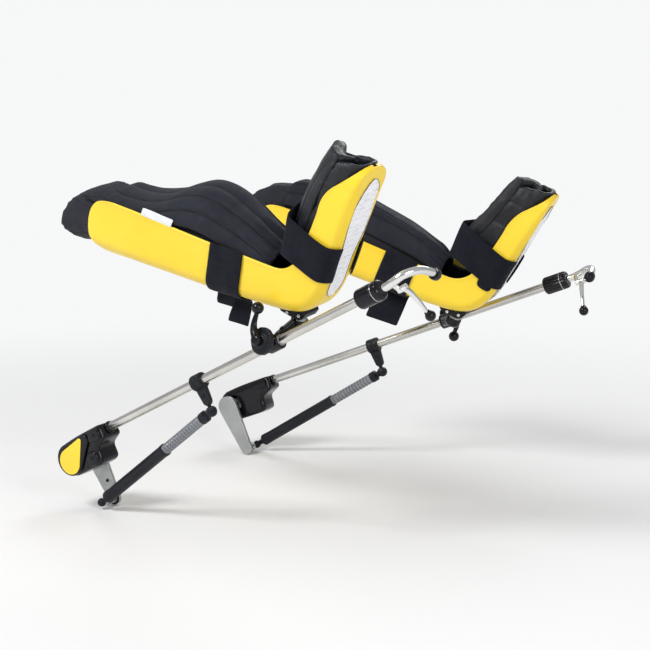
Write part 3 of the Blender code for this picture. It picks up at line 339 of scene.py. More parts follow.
    p = Paint("floor_paper", (0.86, 0.86, 0.86), 0.6, coords="object")
    p.tint(p.noise(1.5, 3.0), (0.855, 0.855, 0.855), (0.865, 0.865, 0.865))
    paints["floor_paper"] = p
    return paints


PAINTS = make_paints()


# ---------------------------------------------------------------- mesh helpers

def frame_along(start, direction):
    turn = Vector((0, 0, 1)).rotation_difference(Vector(direction).normalized())
    return Matrix.Translation(Vector(start)) @ turn.to_matrix().to_4x4()


def spline(a, b, c, d, t):
    """Catmull-Rom value between b and c."""
    return 0.5 * (2 * b + (c - a) * t + (2 * a - 5 * b + 4 * c - d) * t ** 2 + (3 * b - a - 3 * c + d) * t ** 3)


def smooth_line(points, steps, closed=False):
    """Catmull-Rom line through points of any length."""
    points = [np.array(p, float) for p in points]
    if closed:
        ends = [points[-1]] + points + points[:2]
    else:
        ends = [points[0] * 2 - points[1]] + points + [points[-1] * 2 - points[-2]]
    line = []
    for a, b, c, d in zip(ends, ends[1:], ends[2:], ends[3:]):
        line += [spline(a, b, c, d, step / steps) for step in range(steps)]
    if not closed:
        line.append(points[-1])
    return [tuple(float(x) for x in p) for p in line]


def arc(cx, cz, radius, start, end, count):
    angles = [radians(start + (end - start) * i / count) for i in range(count + 1)]
    return [(cx + radius * cos(a), cz + radius * sin(a)) for a in angles]


def belt(c0, r0, c1, r1, count=24):
    """Outline of a belt drawn tight round two circles."""
    along = atan2(c1[1] - c0[1], c1[0] - c0[0])
    lean = acos((r0 - r1) / hypot(c1[0] - c0[0], c1[1] - c0[1]))
    first = [along + lean + (2 * pi - 2 * lean) * i / count for i in range(count + 1)]
    second = [along - lean + 2 * lean * i / count for i in range(count + 1)]
    return ([(c0[0] + r0 * cos(a), c0[1] + r0 * sin(a)) for a in first]
            + [(c1[0] + r1 * cos(a), c1[1] + r1 * sin(a)) for a in second])


def filleted(profile, radius, steps=4):
    """Profile with its inner corners rounded."""
    out = [profile[0]]
    for a, p, b in zip(profile, profile[1:], profile[2:]):
        a, p, b = Vector(a), Vector(p), Vector(b)
        la, lb = (a - p).length, (b - p).length
        cut = min(radius, 0.45 * la, 0.45 * lb)
        first, last = p + (a - p) / la * cut, p + (b - p) / lb * cut
        for i in range(steps + 1):
            t = i / steps
            out.append(tuple(first * (1 - t) ** 2 + p * (2 * t * (1 - t)) + last * t * t))
    return out + [profile[-1]]


X_AXIS = frame_along((0, 0, 0), (1, 0, 0))
ROD_LINE = frame_along((0, 0, ROD_UP), (1, 0, 0))


class Form:
    """Mesh under construction; each vertex also has a place for its textures."""

    def __init__(self):
        self.verts, self.locs, self.faces = [], [], []

    def add(self, points, locs=None, at=None):
        base = len(self.verts)
        for index, point in enumerate(points):
            place = Vector(point)
            if at:
                place = at @ place
            self.verts.append(tuple(place))
            self.locs.append(tuple(locs[index]) if locs else tuple(place))
        return base

    def loft(self, rings, ends=True, close=False, at=None):
        count, rows = len(rings[0]), len(rings)
        base = self.add([p for ring in rings for p in ring], None, at)
        for r in range(rows if close else rows - 1):
            a, b = base + r * count, base + ((r + 1) % rows) * count
            for i in range(count):
                j = (i + 1) % count
                self.faces.append((a + i, a + j, b + j, b + i))
        if ends and not close:
            self.faces.append(tuple(base + i for i in range(count))[::-1])
            self.faces.append(tuple(base + (rows - 1) * count + i for i in range(count)))
        return self

    def walled(self, outer, inner, locs=None, at=None):
        """Thick sheet between two grids of equal size."""
        rows, cols = len(outer), len(outer[0])
        flat = [x for row in locs for x in row] if locs else None
        a = self.add([p for row in outer for p in row], flat, at)
        b = self.add([p for row in inner for p in row], flat, at)

        def cell(r, c, base):
            return base + r * cols + c
        for r in range(rows - 1):
            for c in range(cols - 1):
                self.faces.append((cell(r, c, a), cell(r, c + 1, a), cell(r + 1, c + 1, a), cell(r + 1, c, a)))
                self.faces.append((cell(r, c, b), cell(r + 1, c, b), cell(r + 1, c + 1, b), cell(r, c + 1, b)))
        for c in range(cols - 1):
            self.faces.append((cell(0, c, a), cell(0, c, b), cell(0, c + 1, b), cell(0, c + 1, a)))
            self.faces.append((cell(rows - 1, c, a), cell(rows - 1, c + 1, a), cell(rows - 1, c + 1, b),
                               cell(rows - 1, c, b)))
        for r in range(rows - 1):
            self.faces.append((cell(r, 0, a), cell(r + 1, 0, a), cell(r + 1, 0, b), cell(r, 0, b)))
            self.faces.append((cell(r, cols - 1, a), cell(r, cols - 1, b), cell(r + 1, cols - 1, b),
                               cell(r + 1, cols - 1, a)))
        return self

    def lathe(self, profile, at=None, sides=48, close=False):
        """(radius, height) points turned about Z."""
        rings = [[(r * cos(2 * pi * i / sides), r * sin(2 * pi * i / sides), h) for i in range(sides)]
                 for r, h in profile]
        return self.loft(rings, ends=False, close=close, at=at)

    def ball(self, centre, radius, at=None, sides=40, steps=20):
        profile = [(radius * sin(pi * i / steps), -radius * cos(pi * i / steps)) for i in range(steps + 1)]
        place = Matrix.Translation(Vector(centre))
        return self.lathe(profile, at @ place if at else place, sides)

    def slab(self, outline, y0, y1, edge, at=None, steps=4):
        """(x, z) outline, thick along Y, with rounded edges."""
        points = [Vector(p) for p in outline]
        count = len(points)
        area = sum(points[i].x * points[(i + 1) % count].y - points[(i + 1) % count].x * points[i].y
                   for i in range(count))
        turn = 1 if area > 0 else -1
        normals = []
        for i in range(count):
            run = points[(i + 1) % count] - points[i - 1]
            normals.append(Vector((run.y, -run.x)).normalized() * turn)
        low, high = min(y0, y1), max(y0, y1)
        edge = min(edge, (high - low) / 2)
        rings = []
        for end, way in ((low, 1), (high, -1)):
            part = []
            for i in range(steps + 1):
                angle = pi / 2 * i / steps
                inset, rise = edge * (1 - sin(angle)), edge * (1 - cos(angle))
                part.append([(p.x - n.x * inset, end + way * rise, p.y - n.y * inset)
                             for p, n in zip(points, normals)])
            rings += part if way > 0 else part[::-1]
        return self.loft(rings, at=at)

    def sweep(self, points, radii, at=None, sides=24, flat=1.0, up=(0, 0, 1), steps=5):
        """Round or flattened bar along a smooth line; radii is one number or one per point."""
        if isinstance(radii, (int, float)):
            radii = [radii] * len(points)
        line = smooth_line([(*p, r) for p, r in zip(points, radii)], steps)
        spots = [Vector(p[:3]) for p in line]
        rings = []
        side = None
        for i, spot in enumerate(spots):
            way = (spots[min(i + 1, len(spots) - 1)] - spots[max(i - 1, 0)]).normalized()
            if side is None:
                side = way.cross(Vector(up))
                if side.length < 0.1:
                    side = way.cross(Vector((0, 1, 0)))
            side = (side - way * side.dot(way)).normalized()
            other = way.cross(side)
            r = line[i][3]
            place = [(cos(2 * pi * k / sides), flat * sin(2 * pi * k / sides)) for k in range(sides)]
            spread = [(r, 0.0)]
            if i in (0, len(spots) - 1):
                out = -way if i == 0 else way
                spread = [(r * cos(a), r * 0.6 * sin(a)) for a in (0.0, 0.5, 1.0, 1.35)]
                if i == 0:
                    spread = spread[::-1]
            else:
                out = way
            for wide, push in spread:
                rings.append([tuple(spot + out * push + side * (x * wide) + other * (y * wide))
                              for x, y in place])
        return self.loft(rings, at=at)


def mesh_object(name, form):
    """Welds a form into a new object, with its texture places kept in "loc"."""
    mesh = bpy.data.meshes.new(name)
    mesh.from_pydata(form.verts, [], form.faces)
    layer = mesh.attributes.new("loc", "FLOAT_VECTOR", "POINT")
    layer.data.foreach_set("vector", np.array(form.locs, np.float32).ravel())
    bm = bmesh.new()
    bm.from_mesh(mesh)
    bmesh.ops.remove_doubles(bm, verts=bm.verts, dist=WELD)
    bmesh.ops.recalc_face_normals(bm, faces=bm.faces)
    bm.to_mesh(mesh)
    bm.free()
    return in_scene(name, mesh)


def in_scene(name, data):
    obj = bpy.data.objects.new(name, data)
    bpy.context.scene.collection.objects.link(obj)
    return obj


def piece(side, name, form, body, paint, at, node=None, subdivide=0, sharp=38):
    """Turns a form in its body's frame into a piece that rides on the body."""
    return finished(mesh_object(f"{side}_{name}", form), side, body, paint, at, node, subdivide, sharp)


def finished(obj, side, body, paint, at, node=None, subdivide=0, sharp=38):
    obj.data.transform(at[body])
    obj.data.materials.clear()
    obj.data.materials.append(PAINTS[paint].material)
    obj.data.shade_smooth()
    if sharp and not subdivide:
        obj.data.set_sharp_from_angle(angle=radians(sharp))
    if subdivide:
        step = obj.modifiers.new("smooth", "SUBSURF")
        step.levels = step.render_levels = subdivide
    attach(obj, body if body == "base" else f"{side}_{body}")
    if node:
        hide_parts(f"{side}_{node}")
    return obj


# ---------------------------------------------------------------- body frames

def body_frames(side, sign):
    """World matrix of each moving body at rest."""
    shift, turn = Matrix.Translation, Matrix.Rotation
    middle = PLATE_SPAN / 2
    at = {"base": shift((0, middle + sign * (middle + HIP_OUT), 0))}
    pin = Vector((-STRUT_FOOT[0], 0.0, -STRUT_FOOT[1])).normalized()
    at["yoke"] = at["base"] @ turn(radians(sign * SPREAD), 4, pin)
    lift = turn(radians(-LIFT[side]), 4, "Y")
    at["leg"] = at["yoke"] @ lift
    top = Vector((COLLAR_AT, 0, ROD_UP - ARM_DROP))
    foot = lift.inverted() @ Vector((STRUT_FOOT[0], 0, STRUT_FOOT[1]))
    run = top - foot
    at["strut"] = at["leg"] @ shift(top) @ turn(-atan2(run.z, run.x), 4, "Y")
    at["ram"] = at["strut"] @ shift((-run.length, 0, 0))
    at["trigger"] = at["leg"] @ shift((TRIGGER_PIN[0], -sign * TRIGGER_PIN[1], TRIGGER_PIN[2]))
    swing = turn(radians(sign * CLAMP_TURN[side]), 4, "X")
    at["clamp"] = at["leg"] @ shift((CLAMP_AT[side], 0, ROD_UP)) @ swing
    rise = radians(KNOB_RISE)
    out = swing.inverted() @ Vector((0, sign * cos(rise), sin(rise)))
    at["knob"] = at["clamp"] @ frame_along((0, 0, 0), out)
    yaw, pitch, roll = BOOT_TURN[side]
    pose = (turn(radians(sign * yaw), 4, "Z") @ turn(radians(pitch), 4, "Y")
            @ turn(radians(-sign * roll), 4, "X"))
    at["ball"] = shift(at["clamp"] @ Vector((CLAMP_ARM[0], 0, CLAMP_ARM[1]))) @ pose
    at["boot"] = at["ball"] @ shift(-Vector(BALL_IN_BOOT))
    return at, run.length


# ---------------------------------------------------------------- hard pieces

def screw_head(form, place, direction, radius, height=0.0022):
    """Round screw head with a sunk socket."""
    profile = filleted([(0, 0), (radius, 0), (radius, height), (radius * 0.55, height),
                        (radius * 0.5, height * 0.3), (0, height * 0.3)], radius * 0.18, 3)
    form.lathe(profile, frame_along(place, direction), 28)


def hip(side, sign, at):
    """Housing with its sculpted lock pod, cover, badge, and screws."""
    tail = arc(0, -0.002, 0.037, 100, 270, 16)
    rest = [(0.030, -0.0390), (0.058, -0.0390), (0.074, -0.0360), (0.0795, -0.028), (0.0805, -0.012),
            (0.084, -0.004), (0.096, 0.002), (0.107, 0.008), (0.108, 0.018), (0.108, 0.033),
            (0.103, 0.0385), (0.072, 0.0385), (0.030, 0.0375)]
    outline = smooth_line(tail + rest, 3, closed=True)
    shell = Form().slab(outline, sign * HOUSING_IN, sign * HOUSING_OUT, 0.009, steps=6)
    collar = filleted([(ROD_R + GAP, 0.1083), (0.0128, 0.1083), (0.0128, 0.1122), (0.0115, 0.1134),
                       (ROD_R + GAP, 0.1134)], 0.0008, 3)
    piece(side, "socket_collar", Form().lathe(collar, ROD_LINE, 40, close=True), "leg", "black_gloss", at)
    body = piece(side, "housing_body", shell, "leg", "black_gloss", at, "hip_housing")
    bore = Form().lathe([(0, -0.2), (HIP_BORE_R, -0.2), (HIP_BORE_R, HIP_BORE_END), (0, HIP_BORE_END)],
                        frame_along((0, 0, 0), (0, sign, 0)), 40)
    cut_with(body, bore, at["leg"])
    socket = Form().lathe([(0, 0), (ROD_R + GAP, 0), (ROD_R + GAP, 0.2), (0, 0.2)],
                          frame_along((ROD_START - 0.001, 0, ROD_UP), (1, 0, 0)), 40)
    cut_with(body, socket, at["leg"])

    pod = Form()
    outer = sign * HOUSING_OUT
    pod_outline = smooth_line([(0.046, -0.034), (0.066, -0.0335), (0.0745, -0.026), (0.0745, -0.012),
                               (0.064, -0.005), (0.050, -0.008), (0.044, -0.020)], 5, closed=True)
    pod.slab(pod_outline, outer - sign * 0.004, outer + sign * 0.0042, 0.0038, steps=5)
    ridge = smooth_line([(0.070, 0.012), (0.096, 0.010), (0.1035, 0.016), (0.1035, 0.030),
                         (0.094, 0.0345), (0.078, 0.034), (0.070, 0.025)], 5, closed=True)
    pod.slab(ridge, outer - sign * 0.004, outer + sign * 0.0034, 0.0032, steps=5)
    screw_head(pod, (0.060, sign * (HOUSING_OUT + 0.0040), -0.0195), (0, sign, 0), 0.0042)
    screw_head(pod, (0.0885, sign * (HOUSING_OUT + 0.0032), 0.0225), (0, sign, 0), 0.0034)
    for x, z in ((-0.022, 0.020), (-0.022, -0.024), (0.030, -0.030), (0.060, 0.0285)):
        screw_head(pod, (x, sign * (HOUSING_IN - 0.0002), z), (0, -sign, 0), 0.0036, 0.0016)
    piece(side, "lock_pod", pod, "leg", "black_gloss", at)

    start = HOUSING_OUT + GAP
    cover = Form().slab(belt((0, -0.002), 0.0345, (0.058, 0.022), 0.012, 36), sign * start,
                        sign * (start + 0.006), 0.0045, steps=6)
    piece(side, "cover_cap", cover, "leg", "black_gloss", at, "hip_cover")
    face = HOUSING_OUT + 2 * GAP + 0.006
    badge = Form().slab(belt((0.0005, -0.0055), 0.0275, (0.049, 0.0255), 0.0050, 36),
                        sign * (face - 0.0001), sign * (face + 0.0017), 0.0012, steps=4)
    piece(side, "badge_plate", badge, "leg", "yellow_shell", at, "hip_badge")

    plate = Form()
    inner = -sign * (HIP_OUT - 0.008)
    screw_at = (STRUT_FOOT[0] * 0.62 + 0.004, inner, STRUT_FOOT[1] * 0.62)
    screw_head(plate, screw_at, (0, sign, 0), 0.0036, 0.0014)
    ring = filleted([(0.0108, 0), (0.0145, 0), (0.0145, 0.0016), (0.0108, 0.0016)], 0.0005, 3)
    plate.lathe(ring, frame_along((STRUT_FOOT[0], inner, STRUT_FOOT[1]), (0, sign, 0)), 36, close=True)
    piece(side, "plate_screw", plate, "base", "black_satin", at)


def cut_with(obj, form, place):
    """Takes a closed form away from a finished piece."""
    cutter = mesh_object("cutter", form)
    cutter.data.transform(place)
    step = obj.modifiers.new("bore", "BOOLEAN")
    step.operation = "DIFFERENCE"
    step.object = cutter
    step.solver = "EXACT"
    bake_modifiers(obj)
    bpy.data.objects.remove(cutter, do_unlink=True)


def bake_modifiers(obj):
    bpy.context.view_layer.update()
    graph = bpy.context.evaluated_depsgraph_get()
    mesh = bpy.data.meshes.new_from_object(obj.evaluated_get(graph))
    obj.modifiers.clear()
    obj.data = mesh


def rod_and_strut(side, sign, at, length):
    inner = ROD_R - 0.0015
    profile = filleted([(inner, ROD_START), (inner, ROD_END), (ROD_R, ROD_END), (ROD_R, ROD_START),
                        (inner, ROD_START)], 0.0004, 2)[:-1]
    piece(side, "rod_tube", Form().lathe(profile, ROD_LINE, 56, close=True), "leg", "steel", at, "main_rod")

    half = 0.013
    ring = filleted([(ROD_R + GAP, -half), (ROD_R + GAP, half), (COLLAR_R, half), (COLLAR_R, 0.0012),
                     (COLLAR_R - 0.0012, 0.0006), (COLLAR_R - 0.0012, -0.0006), (COLLAR_R, -0.0012),
                     (COLLAR_R, -half), (ROD_R + GAP, -half)], 0.0016, 3)[:-1]
    collar = Form().lathe(ring, frame_along((COLLAR_AT, 0, ROD_UP), (1, 0, 0)), 48, close=True)
    arm = belt((COLLAR_AT, ROD_UP - 0.0145), 0.0125, (COLLAR_AT + 0.001, ROD_UP - 0.042), 0.0095)
    collar.slab([(x, min(z, ROD_UP - 0.0108)) for x, z in arm], -0.0065, 0.0065, 0.0028, steps=4)
    joint = Vector((COLLAR_AT, 0, ROD_UP - ARM_DROP))
    collar.sweep([joint + Vector((0, 0, up)) for up in (0.001, 0.009, 0.019)], [0.004, 0.004, 0.0052])
    collar.ball(joint, 0.0062)
    for way in (sign, -sign):
        screw_head(collar, (COLLAR_AT, way * 0.0064, ROD_UP - 0.030), (0, way, 0), 0.0040)
    piece(side, "collar_ring", collar, "leg", "black_satin", at, "strut_collar")

    end = -SLEEVE_TOP_GAP + GAP
    cap = Form().lathe(filleted([(0, -0.0094), (0.0068, -0.0094), (0.0068, -0.0155), (0.0125, -0.0185),
                                 (0.0125, -0.024), (0.0118, -0.0246), (0.0118, -0.0262), (0.0125, -0.0268),
                                 (0.0125, end), (0, end)], 0.0010, 3), X_AXIS, 44)
    piece(side, "strut_socket", cap, "strut", "black_satin", at)

    start = -(length - CYL_END) - SLEEVE_HIDDEN
    profile = [(SLEEVE_R - 0.003, start), (SLEEVE_R - 0.003, -SLEEVE_TOP_GAP)]
    pitch, place = 0.0082, -SLEEVE_TOP_GAP
    while place - pitch > start + 0.002:
        for share, depth in ((0.0, 0.0016), (0.10, 0.0002), (0.2, 0.0), (0.62, 0.0), (0.72, 0.0002),
                             (0.82, 0.0016), (0.91, 0.0020)):
            profile.append((SLEEVE_R - depth, place - pitch * share))
        place -= pitch
    profile.append((SLEEVE_R - 0.0016, start))
    sleeve = Form().lathe(profile, X_AXIS, 44, close=True)
    piece(side, "coil_sleeve", sleeve, "strut", "sleeve_grey", at, "strut_sleeve", sharp=60)

    inner = CYL_R - 0.0017
    ram = [(0, CYL_START + 0.005), (inner, CYL_START + 0.005), (inner, CYL_END), (CYL_R, CYL_END),
           (CYL_R, CYL_END - 0.007), (CYL_R - 0.0006, CYL_END - 0.0075), (CYL_R - 0.0006, CYL_START + 0.018),
           (CYL_R, CYL_START + 0.0174), (CYL_R, CYL_START + 0.004), (CYL_R - 0.004, CYL_START), (0, CYL_START)]
    piece(side, "ram_tube", Form().lathe(filleted(ram, 0.0006, 3), X_AXIS, 52), "ram", "black_satin", at, "strut_ram")
    foot = Form().lathe(filleted([(0, CYL_START - GAP), (0.0065, CYL_START - GAP), (0.0058, 0.010),
                                  (0.0050, 0.004), (0, 0.004)], 0.001, 3), X_AXIS, 36)
    foot.ball((0, 0, 0), 0.0090)
    foot.sweep([(0, 0, 0), (0, sign * -0.009, 0), (0, sign * (STUD_END + 0.0035), 0)], 0.0040, up=(1, 0, 0))
    piece(side, "foot_ball", foot, "ram", "black_satin", at, "strut_foot")


def fluted(radius, height, flutes, depth, power, sides):
    """Ring with shallow flutes round it."""
    ring = []
    for i in range(sides):
        angle = 2 * pi * i / sides
        r = radius - depth * (0.5 + 0.5 * cos(flutes * angle)) ** power
        ring.append((r * cos(angle), r * sin(angle), height))
    return ring


def handle(side, sign, at):
    if side == "left":
        profile = [(HUB_R - 0.003, HUB_START), (HUB_R - 0.0006, HUB_START + 0.003), (HUB_R, HUB_START + 0.006),
                   (HUB_R, HUB_END - 0.006), (HUB_R - 0.0006, HUB_END - 0.003), (HUB_R - 0.003, HUB_END)]
        mouth = [fluted(ROD_R + GAP, h, 12, 0.0, 4, 72) for h in (HUB_END - 0.005, HUB_START)]
        hub = Form().loft(mouth + [fluted(r, h, 12, 0.0013, 4, 72) for r, h in profile], at=ROD_LINE)
    else:
        profile = [(0, HUB_END - 0.005), (ROD_R + GAP, HUB_END - 0.005), (ROD_R + GAP, HUB_START),
                   (HUB_R - 0.001, HUB_START), (HUB_R, HUB_START + 0.003), (HUB_R, HUB_END - 0.019),
                   (HUB_R - 0.0011, HUB_END - 0.0184), (HUB_R - 0.0011, HUB_END - 0.0168),
                   (HUB_R, HUB_END - 0.0162), (HUB_R, HUB_END - 0.004), (HUB_R - 0.004, HUB_END), (0, HUB_END)]
        hub = Form().lathe(filleted(profile, 0.0016, 4), ROD_LINE, 64)
    piece(side, "hub_grip", hub, "leg", "black_gloss", at, "handle_hub")
    band = filleted([(HUB_R - 0.0008, HUB_END - 0.0150), (HUB_R + 0.0003, HUB_END - 0.0150),
                     (HUB_R + 0.0003, HUB_END - 0.0138), (HUB_R - 0.0008, HUB_END - 0.0138)], 0.0002, 2)
    piece(side, "hub_ring", Form().lathe(band, ROD_LINE, 64, close=True), "leg", "polished", at)

    route = [(x, -sign * y, z) for x, y, z in TUBE_ROUTE]
    tube = Form().sweep(route, 0.008, sides=32, steps=6)
    px, py, pz = TRIGGER_PIN
    tube.sweep([(px - 0.013, -sign * 0.004, 0.027), (px - 0.012, -sign * 0.011, 0.019),
                (px - 0.0112, -sign * py, pz)], [0.0058, 0.0050, 0.0050], sides=20)
    pin = frame_along((px - 0.0145, -sign * py, pz), (1, 0, 0))
    tube.lathe(filleted([(0, 0), (0.0060, 0), (0.0060, 0.0088), (0.0025, 0.0088), (0.0025, 0.0225),
                         (0, 0.0225)], 0.0006, 3), pin, 28)
    piece(side, "grip_tube", tube, "leg", "polished", at, "handle_tube")

    line = smooth_line(route, 6)
    reach = (Vector(line[-1]) - Vector(line[-2])).normalized()
    rear = Vector(line[-1]) - reach * 0.0042
    cap = Form().lathe(filleted([(0.0084, 0.0), (0.0112, 0.0), (0.0119, 0.003), (0.0119, 0.0105), (0.0085, 0.0168),
                                 (0, 0.0182), (0, 0.0052), (0.0084, 0.0052), (0.0084, 0.0)], 0.0018, 4)[:-1],
                       frame_along(rear, reach), 40, close=True)
    piece(side, "grip_cap", cap, "leg", "black_gloss", at, "handle_cap")

    reach = Vector((TRIGGER_END[0] - TRIGGER_PIN[0], -sign * (TRIGGER_END[1] - TRIGGER_PIN[1]),
                    TRIGGER_END[2] - TRIGGER_PIN[2]))
    out = Vector((0, -sign, 0)) * 0.006
    short = reach * (1 - 0.0085 / reach.length)
    lever = Form().sweep([reach * 0.02, reach * 0.22 + out * 0.9, reach * 0.5 + out * 0.9, reach * 0.78 + out * 0.3,
                          short], [0.0064, 0.0060, 0.0052, 0.0044, 0.0038], sides=24, flat=0.8, up=(1, 0, 0))
    lever.lathe(filleted([(0.0029, -0.0052), (0.0029, 0.0062), (0.0066, 0.0062), (0.0066, -0.0052),
                          (0.0029, -0.0052)], 0.0008, 3)[:-1], X_AXIS, 32, close=True)
    piece(side, "squeeze_lever", lever, "trigger", "polished", at, "trigger_lever")
    knob = Form().ball(reach, 0.0105)
    knob.lathe(filleted([(0.0042, 0), (0.0062, 0), (0.0062, 0.004), (0.0042, 0.004)], 0.0008, 3),
               frame_along(short - reach.normalized() * 0.003, reach), 28, close=True)
    piece(side, "lever_knob", knob, "trigger", "black_gloss", at, "trigger_ball")


def clamp(side, sign, at):
    block = Form()
    ring = filleted([(0.0118, -RING_HALF), (0.0118, RING_HALF), (RING_R, RING_HALF), (RING_R, -RING_HALF),
                     (0.0118, -RING_HALF)], 0.0022, 4)[:-1]
    block.lathe(ring, X_AXIS, 48, close=True)
    reach = (CLAMP_ARM[0] - 0.008, CLAMP_ARM[1] - 0.008)
    arm = belt((0.004, 0.0235), 0.0108, reach, 0.0098, 20)
    block.slab(arm, -0.0108, 0.0108, 0.0042, steps=5)
    for way in (-1, 1):
        screw_head(block, (0.012, way * 0.0106, 0.030), (0, way, 0), 0.0046, 0.0026)
    pose = at["clamp"].inverted() @ at["ball"]
    cup = filleted([(0, -0.0185), (0.012, -0.0185), (CUP_R, -0.012), (CUP_R, 0.0018), (BALL_R + 0.0006, 0.0018),
                    (BALL_R + 0.0002, -0.003), (0.008, -0.0112), (0, -0.0136)], 0.0018, 4)
    block.lathe(cup, pose, 44)
    piece(side, "clamp_body", block, "clamp", "black_gloss", at, "clamp_block")

    back, front = KNOB_FACE, KNOB_FACE + KNOB_THICK
    shape = filleted([(0.0, RING_R + 0.0015), (0.005, RING_R + 0.0015), (0.005, back - 0.004), (0.012, back),
                      (KNOB_R, back), (KNOB_R, front), (0.014, front), (0.0115, front + 0.004),
                      (0.0, front + 0.004)], 0.0022, 4)
    rings = [fluted(r, h, 16, 0.0012 if r > KNOB_R - 0.0012 else 0.0, 6, 96) for r, h in shape]
    knob = Form().loft(rings, ends=False)
    piece(side, "knob_disc", knob, "knob", "black_satin", at, "clamp_knob")

    level = front + 0.0043
    up = at["knob"].to_3x3().inverted() @ Vector((0, 0, 1))
    up = Vector((up.x, up.y, 0)).normalized()
    up.rotate(Matrix.Rotation(radians(LEVER_TURN[side]), 3, "Z"))
    bow = Vector((0, 0, 1)).cross(up) * -sign
    out = Vector((0, 0, level + 0.0076))
    route = [out - 0.004 * up, out + 0.008 * up + 0.004 * bow, out + 0.020 * up + 0.008 * bow,
             out + 0.034 * up + 0.008 * bow, out + (LEVER_REACH - 0.010) * up + 0.002 * bow]
    lever = Form().sweep(route, [0.0086, 0.0086, 0.0078, 0.0062, 0.0046], sides=28, flat=0.86)
    lever.ball(out + LEVER_REACH * up, LEVER_BALL_R)
    lever.lathe(filleted([(0, level), (0.0105, level), (0.0105, level + 0.013), (0.007, level + 0.0155),
                          (0, level + 0.0155)], 0.002, 4), None, 40)
    piece(side, "lever_arm", lever, "knob", "black_gloss", at, "clamp_lever")


# ---------------------------------------------------------------- boot

def shell_station(t):
    """Shell lines at a place between stations, on a smooth curve."""
    i = min(int(t), len(SHELL_LINES) - 2)
    f = t - i
    rows = [np.array(SHELL_LINES[max(0, min(len(SHELL_LINES) - 1, k))]) for k in (i - 1, i, i + 1, i + 2)]
    if i == 0:
        rows[0] = rows[1] * 2 - rows[2]
    if i == len(SHELL_LINES) - 2:
        rows[3] = rows[2] * 2 - rows[1]
    line = [float(x) for x in spline(*rows, f)]
    if t > TOE_FROM:
        round_off = sqrt(max(0.0, 1 - ((t - TOE_FROM) / (TOE_END - TOE_FROM)) ** 2))
        line[4] = line[5] = 0.0515 * round_off
        line[6] = min(line[6], 0.8 * line[4])
    return tuple(line)


def shell_section(station, sign, inset=0.0, keep=1.0):
    """Cross-section of the boot, rim to rim; inset moves it inward, keep shortens the walls."""
    fx, fz, rx, rz, half_floor, half_rim, corner = station
    height = hypot(rx - fx, rz - fz)
    ux, uz = (rx - fx) / height, (rz - fz) / height
    half_floor, half_rim = half_floor - inset, half_rim - inset
    corner = max(min(corner - inset, 0.8 * (height - inset)), 0.001)
    low = corner / height
    sides = []
    for top in (keep, max(keep * INNER_WALL, low + 0.02)):
        side = []
        for part_up in WALL_STEPS:
            share = low + (top - low) * part_up
            side.append((half_floor + (half_rim - half_floor) * share, height * share))
        for step in range(9):
            angle = radians(90 - 11.25 * step)
            widen = (half_rim - half_floor) * low * (1 - cos(angle))
            side.append((half_floor - corner + corner * sin(angle) + widen, inset + corner * (1 - cos(angle))))
        side.append((0.5 * (half_floor - corner), inset))
        sides.append(side)
    outer, inner = sides
    section = [(sign * y, h) for y, h in outer] + [(0.0, inset)]
    section += [(-sign * y, h) for y, h in reversed(inner)]
    return [(fx + ux * h, y, fz + uz * h) for y, h in section][::sign]


def bowed(row, t):
    """Calf end of the shell, bulging between its corners."""
    if t >= 1.0:
        return row
    floor = min(p[2] for p in row)
    out = []
    for x, y, z in row:
        rim = row[0][2] if y * row[0][1] > 0 else row[-1][2]
        level = 2 * (z - floor) / (rim - floor) - 1
        bulge = CALF_END_BOW * max(0.0, 1 - abs(level) ** 2.4) ** 0.62
        pull = 0.020 * (1 - t) * max(0.0, (abs(level) - 0.72) / 0.28) ** 2
        out.append((x - bulge * (1 - t) + pull, y, z))
    return out


def flared(row, lip):
    """Wall tops pushed out a little, as the moulded rim is."""
    out = list(row)
    for index, push in ((0, 1.0), (1, 1.0), (2, 0.55), (3, 0.1)):
        for k in (index, -1 - index):
            x, y, z = out[k]
            out[k] = (x, y + (lip * push if y > 0 else -lip * push), z)
    return out


def boot_shell(side, sign, at):
    stations = ([0.0, 0.04, 0.1, 0.2, 0.35, 0.5, 0.75] + [1 + 0.25 * i for i in range(61)]
                + [16.2, 16.4, 16.6, 16.75, 16.87, 16.95, 17.0])
    outer, inner = [], []
    for t in stations:
        station = shell_station(t)
        lip = 0.0016 * min(1.0, max(0.0, (16.0 - t) / 2))
        outer.append(flared(bowed(shell_section(station, sign), t), lip))
        inner.append(bowed(shell_section(station, sign, SHELL), t))
    form = Form().walled(outer, inner)
    piece(side, "shell_body", form, "boot", "yellow_shell", at, "boot_shell", subdivide=1)


def between(table, x):
    """Value of a table of (place, value) pairs, on a smooth curve."""
    places = [row[0] for row in table]
    values = [row[1] for row in table]
    x = min(max(x, places[0]), places[-1])
    i = max(0, min(len(places) - 2, int(np.searchsorted(places, x)) - 1))
    t = (x - places[i]) / (places[i + 1] - places[i])
    a = values[i - 1] if i else 2 * values[0] - values[1]
    d = values[i + 2] if i + 2 < len(values) else 2 * values[-1] - values[-2]
    return spline(a, values[i], values[i + 1], d, t)


def station_at(x):
    """Shell lines at x along the calf."""
    lines = SHELL_LINES[:CALF_SHELLS]
    if x <= lines[0][0]:
        return (x, lines[0][1], x, *lines[0][3:])
    for low, high in zip(lines, lines[1:]):
        if low[0] <= x <= high[0]:
            share = (x - low[0]) / (high[0] - low[0])
            return tuple(a + (b - a) * share for a, b in zip(low, high))
    return lines[-1]


